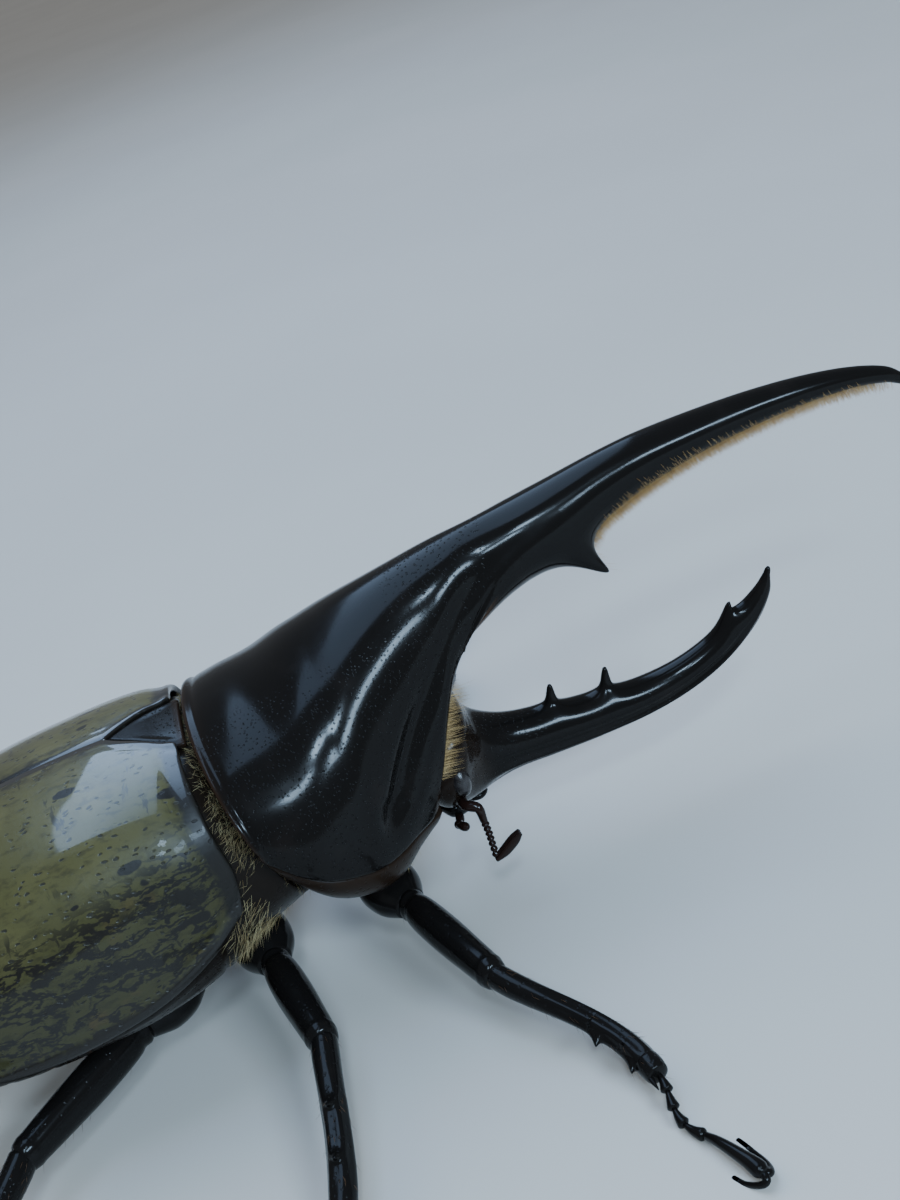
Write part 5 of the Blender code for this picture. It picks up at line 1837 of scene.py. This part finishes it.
    def build(self) -> list[bpy.types.Object]:
        """Builds the leg's four pieces and gives the two that carry hairs."""
        kind, label = self.kind.value, self.side.label
        skins = (("hip", "coxa", [self.coxa()]), ("thigh", "femur", [self.femur()]),
                 ("shin", "tibia", self.tibia()), ("foot", "tarsus", self.tarsus()))
        _, thigh, shin, _ = [finish_piece(make_mesh(f"{kind}_{word}_{label}", patches), LEG_FINISH, Slot.LEG,
                                          f"{kind}_{node}_{label}") for word, node, patches in skins]
        return [thigh, shin]


@dataclass(frozen=True)
class Lamp:
    """A soft lamp: its place and aim in metres, its size, its power and its colour."""

    name: str
    spot: Row
    size: Row
    watts: float
    colour: Row = (1.0, 1.0, 1.0)
    roll: float = 0.0
    aim: Row = (-0.01, 0.0, 0.035)

    def build(self) -> None:
        """Hangs the lamp."""
        light = bpy.data.lights.new(self.name, "AREA")
        light.shape = "RECTANGLE"
        light.size, light.size_y = self.size
        light.energy = self.watts
        light.color = self.colour
        lamp = put(self.name, light)
        lamp.location = self.spot
        lamp.rotation_mode = "QUATERNION"
        roll = Quaternion((0.0, 0.0, 1.0), math.radians(self.roll))
        lamp.rotation_quaternion = aimed(Vector(self.aim) - Vector(self.spot)) @ roll


@dataclass
class Studio:
    """The floor, the lamps and the surrounding light."""

    floor_size: float = 9.0
    sky: Row = (0.86, 0.92, 1.0)
    sky_strength: float = 0.24
    lamps: tuple[Lamp, ...] = (
        Lamp("upper_pane", (-0.55, -0.04, 0.61), (0.09, 0.09), 2.2, (0.55, 0.77, 1.0), 45.0),
        Lamp("window_sill", (-0.6, -0.32, 0.44), (0.3, 0.1), 5.6, (0.55, 0.77, 1.0)),
        Lamp("lower_pane", (-0.65, 0.005, 0.5), (0.065, 0.065), 1.2, (0.55, 0.77, 1.0), 45.0),
        Lamp("high_window", (0.25, 0.035, 0.62), (0.33, 0.9), 4.6, (0.45, 0.66, 1.0), -14.0),
    )
    sun_from: Row = (0.55, 0.75, 0.75)
    sun_strength: float = 0.8
    sun_width: float = 40.0
    sun_colour: Row = (1.0, 0.97, 0.92)

    def build(self) -> None:
        """Builds the studio."""
        half = self.floor_size / 2
        mesh = bpy.data.meshes.new("floor")
        corners = [(-half, -half, 0.0), (half, -half, 0.0), (half, half, 0.0), (-half, half, 0.0)]
        mesh.from_pydata(corners, [], [(0, 1, 2, 3)])
        mesh.materials.append(FLOOR_FINISH.material())
        floor = put("floor", mesh)
        world = bpy.data.worlds.new("room")
        world.use_nodes = True
        back = world.node_tree.nodes["Background"]
        back.inputs["Color"].default_value = (*self.sky, 1.0)
        back.inputs["Strength"].default_value = self.sky_strength
        bpy.context.scene.world = world
        for lamp in self.lamps:
            lamp.build()
        self.sun()
        LOG.info("studio: floor and %d lamps", len(self.lamps))

    def sun(self) -> None:
        """Adds the soft light of the room, which leaves no reflection."""
        data = bpy.data.lights.new("room_light", "SUN")
        data.energy = self.sun_strength
        data.angle = math.radians(self.sun_width)
        data.color = self.sun_colour
        sun = put("room_light", data)
        sun.visible_glossy = False
        sun.rotation_mode = "QUATERNION"
        sun.rotation_quaternion = aimed(-Vector(self.sun_from))


@dataclass(frozen=True)
class PhotoCamera:
    """The camera at the photograph's viewpoint, in body terms."""

    spot: Row = (19.2007, -145.98, 94.2015)
    right: Row = (0.91899, -0.23923, -0.31342)
    down: Row = (-0.38819, -0.40972, -0.82549)
    lens: float = 45.0
    film: float = 36.0
    clip: Row = (0.005, 30.0)

    def build(self) -> None:
        """Places the camera."""
        data = bpy.data.cameras.new("photo_camera")
        data.lens = self.lens
        data.sensor_width = self.film
        data.clip_start, data.clip_end = self.clip
        camera = put("photo_camera", data)
        right, above = Vector(heading(self.right)), -Vector(heading(self.down))
        turn = Matrix((right, above, right.cross(above))).transposed()
        camera.matrix_world = Matrix.Translation(Vector(place(self.spot))) @ turn.to_4x4()
        bpy.context.scene.camera = camera


def leg_hairs(pieces: list[bpy.types.Object]) -> None:
    """Grows sparse hairs on thighs and shins."""
    for seed, piece in enumerate(pieces):
        Bristles(piece.name + "_hairs", "hairs", LEG_BRISTLES, Slot.LEG, per_mm2=0.6, length=1.1,
                 width=0.018, stand=0.3, wild=0.2, seed=101 + seed).grow(piece)


def main() -> None:
    """Builds the beetle's looks in order, then the studio and the camera."""
    logging.basicConfig(level=logging.INFO, format="%(name)s %(message)s")
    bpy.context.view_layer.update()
    Shield().build()
    Head().build()
    WingCases().build()
    Underside().build()
    hairy = []
    for kind in LegKind:
        for side in Side:
            hairy += Leg(kind, side).build()
    leg_hairs(hairy)
    Studio().build()
    PhotoCamera().build()


if __name__ == "__main__":
    main()
